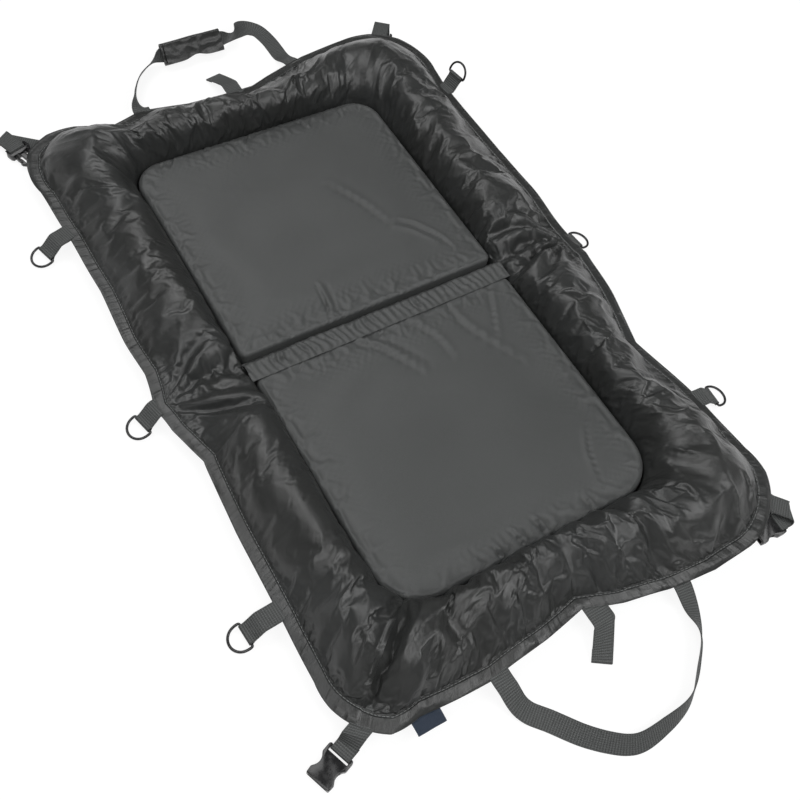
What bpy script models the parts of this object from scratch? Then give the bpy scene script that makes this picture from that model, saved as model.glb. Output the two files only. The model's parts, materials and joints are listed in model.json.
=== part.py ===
"""Folding unhooking mat: two padded halves with stuffed walls, joined at a fold strip.

Metres, +Z up, +Y towards the half with the wrapped handle, origin on the mat's underside in
the middle of the fold line. Each half is drawn once with +Y as its outward direction and is
turned into the near half by mirroring Y.
"""

import math

import bmesh
import bpy
from mathutils import Matrix, Vector

# Clearances shared by every joint between pieces
CLEAR = 0.0003
OVERRUN = 0.004

# Pads and the fold strip between them
PAD_HALF_WIDTH = 0.194
PAD_END = 0.3745
FOLD_HALF = 0.0173
PAD_TOP = 0.030
PAD_EDGE_ROUND = 0.012
PAD_CROWN = 0.003
PAD_PULL_IN = 0.0022
PAD_CORNER_NEAR = 0.060
PAD_CORNER_FAR = 0.042
PAD_CORNER_FOLD = 0.006
COVER_WALL = 0.0020

# Base cloth, with its rising edge and its flange
BASE_THICK = 0.0020
BASE_RISE_RUN = 0.015
FLANGE_HEIGHT = 0.0170
HEM_WIDTH = 0.0220
HEM_THICK = 0.0050
FOLD_DRAW_IN = 0.008

# Stuffed walls round the pads
WALL_HEIGHT = 0.080
SIDE_WALL_WIDTH = 0.107
END_WALL_WIDTH = 0.089
WALL_FOOT_GAP = 0.0020
WALL_CORNER_OUTER = 0.086
WALL_COVER_THICK = 0.0030
CINCH_RUN = 0.095
CINCH_DEPTH = 0.034
PLEAT_DEPTH = 0.006
PLEAT_COUNT = 4
MITRE_DIP = 0.007
MITRE_DIP_RUN_SHARE = 0.35
CHANNEL_TOP = 0.012

# Webbing
WEB_WIDTH = 0.025
WEB_THICK = 0.0012
WEB_PLY_GAP = 0.0003

# D rings and their tabs
RING_WIRE = 0.0035
RING_WIDTH = 0.0352
RING_DEPTH = 0.0255
RING_CORNER = 0.0024
RING_EYE_CLEAR = 0.0003
TAB_SEWN = 0.017
TAB_REACH = 0.027
TAB_PLACE = 0.303
FAR_RIGHT_TAB_PLACE = 0.345
TAB_DROOP = 38.0
RAISED_TAB_LIFT = -52.0
RAISED_RING_PITCH = -70.0

# Carry handles: each row is the way along the hem, the way out from it and the webbing's turn
# in degrees about its own length
NEAR_HANDLE_ROUTE = (
    (-0.127, 0.0, 0.0),
    (-0.122, 0.031, 4.0),
    (-0.101, 0.062, 6.0),
    (-0.067, 0.108, 6.0),
    (-0.032, 0.133, 12.0),
    (0.009, 0.132, 48.0),
    (0.051, 0.122, 76.0),
    (0.088, 0.093, 80.0),
    (0.112, 0.068, 66.0),
    (0.125, 0.036, 22.0),
    (0.129, 0.0, 0.0),
)
FAR_HANDLE_ROUTE = (
    (-0.128, 0.0, 0.0),
    (-0.120, 0.038, -58.0),
    (-0.097, 0.076, -74.0),
    (-0.074, 0.0965, -66.0),
    (-0.062, 0.101, -56.0),
    (-0.053, 0.101, -56.0),
    (0.053, 0.101, -56.0),
    (0.062, 0.101, -56.0),
    (0.073, 0.107, -56.0),
    (0.089, 0.119, -44.0),
    (0.106, 0.125, -24.0),
    (0.120, 0.117, -10.0),
    (0.127, 0.096, -4.0),
    (0.129, 0.060, -3.0),
    (0.129, 0.028, 0.0),
    (0.129, 0.0, 0.0),
)
WRAP_LENGTH = 0.102
WRAP_WIDTH = 0.036
WRAP_DEPTH = 0.015
WRAP_SLOT_WIDTH = 0.0262
WRAP_SLOT_DEPTH = 0.0020
WRAP_TURN = -56.0
WRAP_PLACE = 0.101
WRAP_APPROACH = 0.026
FLAP_THICK = 0.0020
FLAP_WIDTH = 0.030
ROOT_GAP = 0.0006
HANDLE_DROP_RUN = 0.052

# Centre closure tabs
CLOSURE_LENGTH = 0.044
CLOSURE_SHIFT = 0.016
PATCH_THICK = 0.0016
PATCH_LENGTH = 0.028
CLOSURE_DROP_RUN = 0.030

# Corner straps and their side-release buckles
STRAP_TAIL = 0.016
STRAP_DROP_RUN = 0.014
NEAR_LEFT_REACH = 0.019
NEAR_RIGHT_REACH = 0.033
FAR_LEFT_REACH = 0.073
FAR_RIGHT_REACH = 0.062
FOLDED_STRAP_RETURN = 0.026
TUCKED_STRAP_RETURN = 0.012
TUCKED_FOLD_HEIGHT = 0.0165
BUCKLE_WIDTH = 0.033
BUCKLE_THICK = 0.0095
BUCKLE_BAR = 0.0035
BUCKLE_SLOT = 0.0048
BUCKLE_EDGE = 0.0012
FEMALE_LENGTH = 0.040
FEMALE_MOUTH_WALL = 0.0024
FEMALE_SOCKET_THICK = 0.0062
FEMALE_SOCKET_DEPTH = 0.0270
FEMALE_WAIST_DEPTH = 0.0046
FEMALE_WAIST_LENGTH = 0.0190
FEMALE_WAIST_START = 0.0130
MALE_BASE_LENGTH = 0.0140
MALE_TONGUE_LENGTH = 0.0190
MALE_TONGUE_WIDTH = 0.0070
MALE_TONGUE_THICK = 0.0046
ARM_LENGTH = 0.0235
ARM_OFFSET = 0.0098
ARM_WIDTH = 0.0036
ARM_THICK = 0.0054
ARM_HEAD_LENGTH = 0.0095
ARM_HEAD_FLARE = 0.0026

# Bare woven label in the hem
LABEL_WIDTH = 0.036
LABEL_REACH = 0.018
LABEL_THICK = 0.0008
LABEL_PLACE_SHARE = 1.144  # of the pad's half width, from the mat's middle

# Heights that follow from the layers
BASE_TOP = BASE_THICK
SOFT_BOTTOM = BASE_TOP + CLEAR
HEM_BOTTOM = FLANGE_HEIGHT + BASE_THICK + CLEAR
HEM_TOP = HEM_BOTTOM + HEM_THICK
TAB_THICK = 2 * WEB_THICK + WEB_PLY_GAP
TAB_HEIGHT = HEM_BOTTOM + CLEAR + TAB_THICK / 2
FOLD_EDGE = FOLD_HALF + CLEAR
HEM_END = PAD_END + WALL_FOOT_GAP + END_WALL_WIDTH + HEM_WIDTH
FOLD_AXIS_HEIGHT = WALL_HEIGHT + CLEAR
WEB_REST = WEB_THICK / 2 + CLEAR

# Half of the object: outward sign of Y and the pad's outer corner radius
HALVES = {"near": (-1, PAD_CORNER_NEAR), "far": (1, PAD_CORNER_FAR)}
SIDES = {"left": -1, "right": 1}


def clear_scene():
    for obj in list(bpy.data.objects):
        bpy.data.objects.remove(obj, do_unlink=True)


def make_material(name, color, roughness, metallic=0.0):
    material = bpy.data.materials.new(name)
    material.use_nodes = True
    shader = material.node_tree.nodes["Principled BSDF"]
    shader.inputs["Base Color"].default_value = (*color, 1.0)
    shader.inputs["Roughness"].default_value = roughness
    shader.inputs["Metallic"].default_value = metallic
    return material


def add_object(name, mesh, material, smooth_angle=40.0):
    mesh.materials.clear()
    mesh.materials.append(material)
    if smooth_angle:
        mesh.shade_smooth()
        mesh.set_sharp_from_angle(angle=math.radians(smooth_angle))
    obj = bpy.data.objects.new(name, mesh)
    bpy.context.scene.collection.objects.link(obj)
    return obj


def mesh_from(name, build):
    """A mesh from a function that fills a bmesh, with its faces pointing out."""
    bm = bmesh.new()
    build(bm)
    bmesh.ops.recalc_face_normals(bm, faces=bm.faces)
    mesh = bpy.data.meshes.new(name)
    bm.to_mesh(mesh)
    bm.free()
    return mesh


def loft(name, rings, closed=False):
    """A closed body through rings of points: capped at its two ends, or joined end to end."""

    def build(bm):
        rows = [[bm.verts.new(point) for point in ring] for ring in rings]
        pairs = list(zip(rows, rows[1:]))
        if closed:
            pairs.append((rows[-1], rows[0]))
        count = len(rows[0])
        for low, high in pairs:
            for i in range(count):
                j = (i + 1) % count
                bm.faces.new((low[i], low[j], high[j], high[i]))
        if not closed:
            bm.faces.new(rows[0])
            bm.faces.new(rows[-1])

    return mesh_from(name, build)


def slab(name, outline, low, high):
    """A plate from a plan outline, extruded between two heights."""

    def build(bm):
        face = bm.faces.new([bm.verts.new((x, y, low)) for x, y in outline])
        top = bmesh.ops.extrude_face_region(bm, geom=[face])["geom"]
        moved = [item for item in top if isinstance(item, bmesh.types.BMVert)]
        bmesh.ops.translate(bm, verts=moved, vec=(0, 0, high - low))

    return mesh_from(name, build)


def follow(child, parent):
    """Makes one object move with another and leaves it where it stands."""
    child.parent = parent
    child.matrix_parent_inverse = parent.matrix_basis.inverted()


def tool_from(mesh, frame=None):
    """A helper that cuts or joins, and isn't a piece of the object."""
    tool = bpy.data.objects.new(mesh.name, mesh)
    bpy.context.scene.collection.objects.link(tool)
    tool.hide_render = True
    tool.display_type = "WIRE"
    if frame:
        tool.matrix_world = frame
    return tool


def combine(obj, tool, operation="DIFFERENCE"):
    follow(tool, obj)
    modifier = obj.modifiers.new(operation.title(), "BOOLEAN")
    modifier.operation = operation
    modifier.solver = "EXACT"
    modifier.object = tool


def round_edges(obj, width, segments=2, angle=40.0):
    modifier = obj.modifiers.new("Rounded edges", "BEVEL")
    modifier.width = width
    modifier.segments = segments
    modifier.limit_method = "ANGLE"
    modifier.angle_limit = math.radians(angle)


def thicken(obj, thickness):
    """Gives a sheet its thickness on the side away from its normals."""
    modifier = obj.modifiers.new("Cloth thickness", "SOLIDIFY")
    modifier.thickness = thickness
    modifier.offset = -1
    modifier.use_even_offset = True


def smooth(share):
    share = min(max(share, 0.0), 1.0)
    return share * share * (3 - 2 * share)


# Plan of one half: lines that run from the fold, up a side, round a corner and along the end


def fold_fade(y):
    """1 at the fold line, falling to 0 where the wall has its full size."""
    return 1 - smooth((y - FOLD_HALF) / CINCH_RUN)


def rim_point(station, across, corner, hem=0.0):
    """Point on the right half of the rim.

    station runs 0-1 along the side, 1-2 round the corner and 2-3 along the end to the middle;
    across is 0 at the wall's inner foot and 1 at its seam; hem is the distance past the seam.
    """
    width = PAD_HALF_WIDTH + WALL_FOOT_GAP + across * SIDE_WALL_WIDTH + hem
    end = PAD_END + WALL_FOOT_GAP + across * END_WALL_WIDTH + hem
    radius = corner + across * (WALL_CORNER_OUTER - corner) + hem / 2
    if station <= 1:
        y = FOLD_EDGE + station * (end - radius - FOLD_EDGE)
        return width - FOLD_DRAW_IN * across * fold_fade(y), y
    if station <= 2:
        angle = (station - 1) * math.pi / 2
        return (
            width - radius + radius * math.cos(angle),
            end - radius + radius * math.sin(angle),
        )
    return (width - radius) * (3 - station), end


def rim_line(stations, across, corner, hem=0.0):
    """The rim from the right fold edge, round the end, to the left fold edge."""
    right = [rim_point(station, across, corner, hem) for station in stations]
    left = [(-x, y) for x, y in reversed(right[:-1])]
    return right + left


def spread(low, high, count, ease=1.0):
    return [low + (high - low) * (i / count) ** ease for i in range(count + 1)]


# Stations are closest where the wall draws in towards the fold
SIDE_RUN = spread(0.0, 1.0, 7, 1.6)
CORNER_STEPS = 6
END_STEPS = 3
RIM_STATIONS = SIDE_RUN + spread(1.0, 2.0, CORNER_STEPS)[1:] + spread(2.0, 3.0, END_STEPS)[1:]


def facing(half, point):
    """Turns a point of the far half into its place on either half."""
    x, y, z = point
    return (x, HALVES[half][0] * y, z)


def sheet_object(name, rows, half, material, thickness, filled):
    """Cloth through rows of rim points, seen from below, with the flat middle if filled."""

    def build(bm):
        lines = [[bm.verts.new(facing(half, point)) for point in row] for row in rows]
        for low, high in zip(lines, lines[1:]):
            for i in range(len(low) - 1):
                bm.faces.new((low[i], low[i + 1], high[i + 1], high[i]))
        if filled:
            bm.faces.new(lines[0])

    mesh = mesh_from(name, build)
    bm = bmesh.new()
    bm.from_mesh(mesh)
    if sum(face.normal.z * face.calc_area() for face in bm.faces) > 0:
        bmesh.ops.reverse_faces(bm, faces=bm.faces)
    bm.to_mesh(mesh)
    bm.free()
    obj = add_object(name, mesh, material)
    thicken(obj, thickness)
    return obj


# Stuffed walls


def wall_height(y, station):
    height = WALL_HEIGHT - CINCH_DEPTH * fold_fade(y)
    from_mitre = abs(station - 1.5) / MITRE_DIP_RUN_SHARE
    return height - MITRE_DIP * (1 - smooth(from_mitre))


def wall_section(station, corner, count, inset=0.0, pleats=True, bottom=SOFT_BOTTOM):
    """Points across the wall: over its crown from the inner foot, then back under it."""
    points = []
    seam = HEM_TOP + CLEAR
    inner_share = inset / END_WALL_WIDTH
    _, middle_y = rim_point(station, 0.5, corner)
    crest = wall_height(middle_y, station) - inset
    if inset:
        crest -= PLEAT_DEPTH * fold_fade(middle_y)
    for i in range(count + 1):
        share = (1 - math.cos(math.pi * i / count)) / 2
        across = inner_share + share * (1 - 2 * inner_share)
        x, y = rim_point(station, across, corner)
        foot = SOFT_BOTTOM + (seam - SOFT_BOTTOM) * share**2
        arch = max(0.0, 1 - abs(2 * share - 1) ** 2.6) ** (1 / 2.1)
        z = foot + (crest - foot) * arch
        if pleats:
            wave = 0.5 - 0.5 * math.cos(2 * math.pi * PLEAT_COUNT * share)
            z -= PLEAT_DEPTH * fold_fade(y) * wave * arch
        points.append((x, y, z))
    rise_share = (BASE_RISE_RUN + BASE_THICK) / SIDE_WALL_WIDTH
    low_x, low_y = rim_point(station, 1 - inner_share - rise_share, corner)
    tuck_x, tuck_y = rim_point(station, 1 - inner_share - CLEAR * 3 / SIDE_WALL_WIDTH, corner)
    points.append((tuck_x, tuck_y, HEM_BOTTOM + 2 * CLEAR))
    points.append((low_x, low_y, bottom))
    if bottom < SOFT_BOTTOM:
        points[0] = (points[0][0], points[0][1], bottom)
    return points


def wall_rings(stations, corner, half, mirror, count, **kind):
    rings = []
    for station in stations:
        if station > 3:
            ring = wall_section(6 - station, corner, count, **kind)
            ring = [(-x, y, z) for x, y, z in ring]
        else:
            ring = wall_section(station, corner, count, **kind)
        rings.append([facing(half, (mirror * x, y, z)) for x, y, z in ring])
    return rings


def stuffed_wall(name, half, stations, mirror, cloth, filling):
    """The wall's cloth shell, open under its filling, and the filling itself."""
    corner = HALVES[half][1]
    outer = loft(name, wall_rings(stations, corner, half, mirror, WALL_POINTS))
    cover = add_object(name, outer, cloth)
    arc = corner * math.pi / 2
    margin = WALL_COVER_THICK / arc
    side_margin = WALL_COVER_THICK / PAD_END
    first = stations[0] + (side_margin if stations[0] < 1 else margin)
    last = stations[-1] - margin
    inner_stations = [first] + [s for s in stations[1:-1] if first < s < last] + [last]
    hollow = loft(
        name + "_hollow",
        wall_rings(
            inner_stations,
            corner,
            half,
            mirror,
            FILLING_POINTS,
            inset=WALL_COVER_THICK,
            pleats=False,
            bottom=SOFT_BOTTOM - OVERRUN,
        ),
    )
    combine(cover, tool_from(hollow))
    core_first = first + 3 * CLEAR / (PAD_END if stations[0] < 1 else arc)
    core_stations = [core_first] + inner_stations[1:-1] + [last - 3 * CLEAR / arc]
    core = loft(
        name + "_filling",
        wall_rings(
            core_stations,
            corner,
            half,
            mirror,
            FILLING_POINTS,
            inset=WALL_COVER_THICK + 4 * CLEAR,
            pleats=False,
        ),
    )
    add_object(name.replace("_wall", "_wall_filling"), core, filling)


WALL_POINTS = 18
FILLING_POINTS = 8
MITRE_GAP_SHARE = CLEAR / (2 * PAD_CORNER_FAR)
SIDE_STATIONS = SIDE_RUN + spread(1.0, 1.5 - MITRE_GAP_SHARE, 3)[1:]
END_RIGHT = spread(1.5 + MITRE_GAP_SHARE, 2.0, 3) + spread(2.0, 3.0, 3)[1:]
END_STATIONS = END_RIGHT + [6 - station for station in reversed(END_RIGHT[:-1])]


# Pads


def pad_corners(inset, half):
    """Centre, radius, first angle and arc steps of a pad's four corners, going round."""
    width = PAD_HALF_WIDTH - inset
    low = FOLD_EDGE + inset
    high = PAD_END - inset
    outer = max(HALVES[half][1] - inset, PAD_CORNER_FOLD)
    inner = PAD_CORNER_FOLD
    return (
        (Vector((width - outer, high - outer)), outer, 0.0, 6),
        (Vector((outer - width, high - outer)), outer, 0.5, 6),
        (Vector((inner - width, low + inner)), inner, 1.0, 2),
        (Vector((width - inner, low + inner)), inner, 1.5, 2),
    )


def on_arc(centre, radius, half_turns):
    angle = math.pi * half_turns
    return centre + radius * Vector((math.cos(angle), math.sin(angle)))


def pad_outline(inset, half, count=5):
    """Plan of a pad: square at the fold, round at its outer corners, sides drawn in between."""
    corners = pad_corners(inset, half)
    points = []
    for i, (centre, radius, turn, steps) in enumerate(corners):
        points += [on_arc(centre, radius, turn + k / steps / 2) for k in range(steps + 1)]
        following = corners[(i + 1) % len(corners)]
        start, end = points[-1], on_arc(*following[:3])
        inward = Vector(((start - end).y, (end - start).x)).normalized()
        for k in range(1, count):
            share = k / count
            pull = PAD_PULL_IN * 4 * share * (1 - share)
            points.append(start.lerp(end, share) + inward * pull)
    return points


def pad_body(name, half, wall, crown, bottom):
    """A pad block, set in from the cover's face by wall, with a rounded and crowned top."""
    top = PAD_TOP - PAD_CROWN - wall
    levels = (
        (wall, bottom),
        (wall, top - PAD_EDGE_ROUND),
        (wall + PAD_EDGE_ROUND * 0.12, top - PAD_EDGE_ROUND * 0.5),
        (wall + PAD_EDGE_ROUND * 0.5, top - PAD_EDGE_ROUND * 0.12),
        (wall + PAD_EDGE_ROUND, top),
        (wall + PAD_CORNER_NEAR * 0.6, top + crown * 0.7),
        (wall + PAD_CORNER_NEAR * 1.5, top + crown),
    )
    rings = [
        [facing(half, (p.x, p.y, z)) for p in pad_outline(inset, half)] for inset, z in levels
    ]
    return loft(name, rings)


def build_pad(half, cloth, foam):
    name = half + "_pad_cover"
    cover = add_object(name, pad_body(name, half, 0.0, PAD_CROWN, SOFT_BOTTOM), cloth)
    hollow = pad_body(name + "_hollow", half, COVER_WALL, 0.0, SOFT_BOTTOM - OVERRUN)
    combine(cover, tool_from(hollow))
    block = pad_body(half + "_pad_foam", half, COVER_WALL + CLEAR, 0.0, SOFT_BOTTOM)
    add_object(half + "_pad_foam", block, foam)


# Base cloth, hem and the fold strip


def build_base(half, material):
    corner = HALVES[half][1]
    rise_share = BASE_RISE_RUN / SIDE_WALL_WIDTH
    rows = [
        [(x, y, 0.0) for x, y in rim_line(RIM_STATIONS, 1 - rise_share, corner)],
        [(x, y, FLANGE_HEIGHT) for x, y in rim_line(RIM_STATIONS, 1.0, corner)],
        [(x, y, FLANGE_HEIGHT) for x, y in rim_line(RIM_STATIONS, 1.0, corner, HEM_WIDTH)],
    ]
    return sheet_object(half + "_base_cloth", rows, half, material, BASE_THICK, True)


def build_hem(half, material):
    corner = HALVES[half][1]
    rows = [
        [(x, y, HEM_BOTTOM) for x, y in rim_line(RIM_STATIONS, 1.0, corner, CLEAR)],
        [(x, y, HEM_BOTTOM) for x, y in rim_line(RIM_STATIONS, 1.0, corner, HEM_WIDTH)],
    ]
    return sheet_object(half + "_hem", rows, half, material, HEM_THICK, False)


def build_fold_strip(material):
    """Base cloth under the fold, with the same rising edge and flange as the halves."""
    rise_share = BASE_RISE_RUN / SIDE_WALL_WIDTH
    foot, _ = rim_point(0.0, 1 - rise_share, PAD_CORNER_FAR)
    seam, _ = rim_point(0.0, 1.0, PAD_CORNER_FAR)
    edge, _ = rim_point(0.0, 1.0, PAD_CORNER_FAR, HEM_WIDTH)
    profile = [(foot, 0.0), (seam, FLANGE_HEIGHT), (edge, FLANGE_HEIGHT)]
    line = [(-x, z) for x, z in reversed(profile)] + profile

    def build(bm):
        rows = [[bm.verts.new((x, y, z)) for x, z in line] for y in (-FOLD_HALF, FOLD_HALF)]
        for i in range(len(line) - 1):
            bm.faces.new((rows[1][i], rows[1][i + 1], rows[0][i + 1], rows[0][i]))

    mesh = mesh_from("fold_strip", build)
    bm = bmesh.new()
    bm.from_mesh(mesh)
    if sum(face.normal.z * face.calc_area() for face in bm.faces) > 0:
        bmesh.ops.reverse_faces(bm, faces=bm.faces)
    bm.to_mesh(mesh)
    bm.free()
    obj = add_object("fold_strip", mesh, material)
    thicken(obj, BASE_THICK)


CHANNEL_RIPPLES = 14


def build_fold_channel(material):
    """Gathered top cloth in the channel between the two pads."""
    reach = PAD_HALF_WIDTH - CLEAR
    rings = []
    steps = CHANNEL_RIPPLES * 2
    for i in range(steps + 1):
        x = reach * (2 * i / steps - 1)
        crest = CHANNEL_TOP - (PLEAT_DEPTH / 3) * (i % 2)
        rings.append(
            [
                (x, -FOLD_HALF, SOFT_BOTTOM),
                (x, -FOLD_HALF, crest - PLEAT_DEPTH / 2),
                (x, -FOLD_HALF / 2, crest),
                (x, FOLD_HALF / 2, crest),
                (x, FOLD_HALF, crest - PLEAT_DEPTH / 2),
                (x, FOLD_HALF, SOFT_BOTTOM),
            ]
        )
    add_object("fold_channel_cloth", loft("fold_channel_cloth", rings), material)


def build_fold_gather(side, material):
    """The drawn-in neck of the walls over the fold, with its pleats and its piece of hem."""
    mirror = SIDES[side]
    section = wall_section(0.0, PAD_CORNER_FAR, WALL_POINTS)
    seam_x = section[WALL_POINTS][0]
    edge_x = seam_x + HEM_WIDTH
    crown, under = section[:WALL_POINTS], section[WALL_POINTS + 1 :]
    rings = []
    for place in (-1.0, -0.5, 0.0, 0.5, 1.0):
        sink = PLEAT_DEPTH * (1 - abs(place))
        ring = [(x, z - sink * (z - SOFT_BOTTOM) / WALL_HEIGHT * 2) for x, _, z in crown]
        ring += [
            (seam_x, HEM_TOP),
            (edge_x, HEM_TOP),
            (edge_x, HEM_BOTTOM),
            (seam_x + CLEAR, HEM_BOTTOM),
            (under[0][0], HEM_BOTTOM + CLEAR),
        ]
        ring += [(x, z) for x, _, z in under[1:]]
        rings.append([(mirror * x, place * FOLD_HALF, z) for x, z in ring])
    name = side + "_fold_gather"
    return add_object(name, loft(name, rings), material)


# Webbing


def ribbon(name, centres, acrosses, width=WEB_WIDTH, thickness=WEB_THICK):
    """A flat strap swept along its centre line; acrosses gives the way across at each point.

    A way across longer than 1 is a slanted cut, whose width along the strap's own square
    section stays the same.
    """
    rings = []
    last = len(centres) - 1
    for i, (centre, across) in enumerate(zip(centres, acrosses)):
        along = centres[min(i + 1, last)] - centres[max(i - 1, 0)]
        side = across * width / 2
        up = along.cross(across).normalized() * thickness / 2
        rings.append([centre + side + up, centre - side + up, centre - side - up, centre + side - up])
    return loft(name, rings)


def arc_points(centre, radius, start, end, steps):
    """Points on an arc in the outward-and-up plane, by angles in degrees."""
    points = []
    for i in range(steps + 1):
        angle = math.radians(start + (end - start) * i / steps)
        points.append(centre + Vector((radius * math.cos(angle), 0, radius * math.sin(angle))))
    return points


def hem_frame(point, outward_angle, height=0.0):
    """Local frame at the hem: X outward, Y along the hem, Z up."""
    turn = Matrix.Rotation(math.radians(outward_angle), 4, "Z")
    return Matrix.Translation(Vector((point[0], point[1], height))) @ turn


def build_ring_tab(name, frame, droop, material):
    """Doubled webbing from inside the hem to an eye round the ring's bar; returns the eye."""
    ply = (WEB_THICK + WEB_PLY_GAP) / 2
    eye_radius = RING_WIRE / 2 + RING_EYE_CLEAR + WEB_THICK / 2
    root = Vector((-TAB_SEWN, 0, 0))
    bend = Vector((ROOT_GAP + WEB_WIDTH / 6, 0, 0))
    angle = math.radians(-droop)
    run = Vector((math.cos(angle), 0, math.sin(angle)))
    rise = Vector((-math.sin(angle), 0, math.cos(angle)))
    eye = bend + run * (TAB_REACH - bend.x)
    half_bend = Vector((-math.sin(angle / 2), 0, math.cos(angle / 2)))
    before_eye = eye - run * eye_radius * 1.9
    upper = [root + Vector((0, 0, ply)), bend.lerp(root, 0.15) + Vector((0, 0, ply))]
    upper += [bend + half_bend * ply, before_eye + rise * ply]
    lower = [before_eye - rise * ply, bend - half_bend * ply]
    lower += [bend.lerp(root, 0.15) - Vector((0, 0, ply)), root - Vector((0, 0, ply))]
    loop = arc_points(eye, eye_radius, 128 - droop, -128 - droop, 9)
    centres = upper + loop + lower
    mesh = ribbon(name, centres, [Vector((0, 1, 0))] * len(centres))
    obj = add_object(name, mesh, material, 50.0)
    obj.matrix_world = frame
    return eye


def build_ring(name, frame, eye, pitch, material):
    """D ring of round wire, with its origin on the middle of its bar."""
    half_bar = (RING_WIDTH - RING_WIRE) / 2
    depth = RING_DEPTH - RING_WIRE
    straight = depth - half_bar
    corners = []
    for end, turn in ((-1, 180.0), (1, 90.0)):
        hub = Vector((RING_CORNER, end * (half_bar - RING_CORNER), 0))
        angles = [math.radians(turn + 45 * i) for i in range(3)]
        corners.append([hub + RING_CORNER * Vector((math.cos(a), math.sin(a), 0)) for a in angles])
    lower, upper = corners
    bow = []
    for i in range(11):
        angle = math.radians(-90 + 180 * i / 10)
        bow.append(Vector((straight + half_bar * math.cos(angle), half_bar * math.sin(angle), 0)))
    path = lower + bow + upper
    rings = []
    count = len(path)
    for i, centre in enumerate(path):
        along = (path[(i + 1) % count] - path[i - 1]).normalized()
        across = along.cross(Vector((0, 0, 1)))
        ring = []
        for k in range(RING_SIDES):
            angle = 2 * math.pi * (k + 0.5) / RING_SIDES
            offset = across * math.cos(angle) + Vector((0, 0, 1)) * math.sin(angle)
            ring.append(centre + offset * RING_WIRE / 2)
        rings.append(ring)
    obj = add_object(name, loft(name, rings, closed=True), material, 70.0)
    tilt = Matrix.Rotation(math.radians(pitch), 4, "Y")
    obj.matrix_world = frame @ Matrix.Translation(eye) @ tilt
    return obj


RING_SIDES = 6


def eased(rows, samples=3):
    """Rows of a table joined by a smooth curve that passes through each of them."""
    rows = [Vector(row) for row in rows]
    spans = [(after - row).xy.length for row, after in zip(rows, rows[1:])]
    slopes = [(after - row) / span for row, after, span in zip(rows, rows[1:], spans)]
    tangents = [slopes[0]]
    for i in range(1, len(spans)):
        weighed = slopes[i - 1] * spans[i] + slopes[i] * spans[i - 1]
        tangents.append(weighed / (spans[i - 1] + spans[i]))
    tangents.append(slopes[-1])
    points = []
    for i, span in enumerate(spans):
        for k in range(samples):
            t = k / samples
            place = rows[i] * (1 + 2 * t) * (1 - t) ** 2 + rows[i + 1] * t**2 * (3 - 2 * t)
            bend = tangents[i] * t * (1 - t) ** 2 - tangents[i + 1] * t**2 * (1 - t)
            points.append(place + bend * span)
    return points + [rows[-1]]


def wrap_height():
    """Height of the wrap's middle when it lies tilted on the ground."""
    turn = math.radians(abs(WRAP_TURN))
    return WRAP_WIDTH / 2 * math.sin(turn) + WRAP_DEPTH / 2 * math.cos(turn) + CLEAR


def handle_line(half, route, wrapped):
    """Centre line of a carry handle and the way across it, from its root at the hem."""
    sign = HALVES[half][0]
    points = eased(route)
    plan = [Vector((x, out, 0)) for x, out, _ in points]
    lengths = [0.0]
    for a, b in zip(plan, plan[1:]):
        lengths.append(lengths[-1] + (b - a).length)
    centres, acrosses = [], []
    last = len(plan) - 1
    for i, (point, length) in enumerate(zip(plan, lengths)):
        turn = math.radians(points[i].z)
        lift = abs(math.sin(turn)) * WEB_WIDTH / 2 + math.cos(turn) * WEB_THICK / 2 + CLEAR
        if wrapped:
            past = abs(point.x) - WRAP_LENGTH / 2
            lift += (wrap_height() - lift) * (1 - smooth(past / WRAP_APPROACH))
        from_hem = min(length, lengths[-1] - length)
        drop = smooth(from_hem / HANDLE_DROP_RUN)
        height = (lift - TAB_HEIGHT) * drop
        along = (plan[min(i + 1, last)] - plan[max(i - 1, 0)]).normalized()
        level = Vector((along.y, -along.x, 0))
        if i in (0, last):
            level = Vector((1, 0, 0)) if i == 0 else Vector((-1, 0, 0))
        across = level * math.cos(turn) + Vector((0, 0, 1)) * math.sin(turn)
        centres.append(Vector((point.x, sign * point.y, height)))
        acrosses.append(Vector((across.x, sign * across.y, across.z)))
    print(f"{half} handle webbing {lengths[-1]:.3f} m")
    return centres, acrosses


def handle_root(half):
    sign = HALVES[half][0]
    return Vector((0, sign * (HEM_END + ROOT_GAP + WEB_THICK / 2), TAB_HEIGHT))


def build_handle(half, route, wrapped, material):
    centres, acrosses = handle_line(half, route, wrapped)
    name = half + "_handle_webbing"
    obj = add_object(name, ribbon(name, centres, acrosses), material, 50.0)
    frame = Matrix.Translation(handle_root(half))
    obj.matrix_world = frame
    report_hinge(half + "_handle", frame, (0, 0, 0), (-HALVES[half][0], 0, 0))
    return obj


def oval(width, depth, count):
    """Flat oval section with round ends, as (across, out) pairs."""
    points = []
    for end in (1, -1):
        for i in range(count + 1):
            angle = math.radians(-90 + 180 * i / count)
            across = end * ((width - depth) / 2 + depth / 2 * math.cos(angle))
            points.append((across, end * depth / 2 * math.sin(angle)))
    return points


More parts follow.
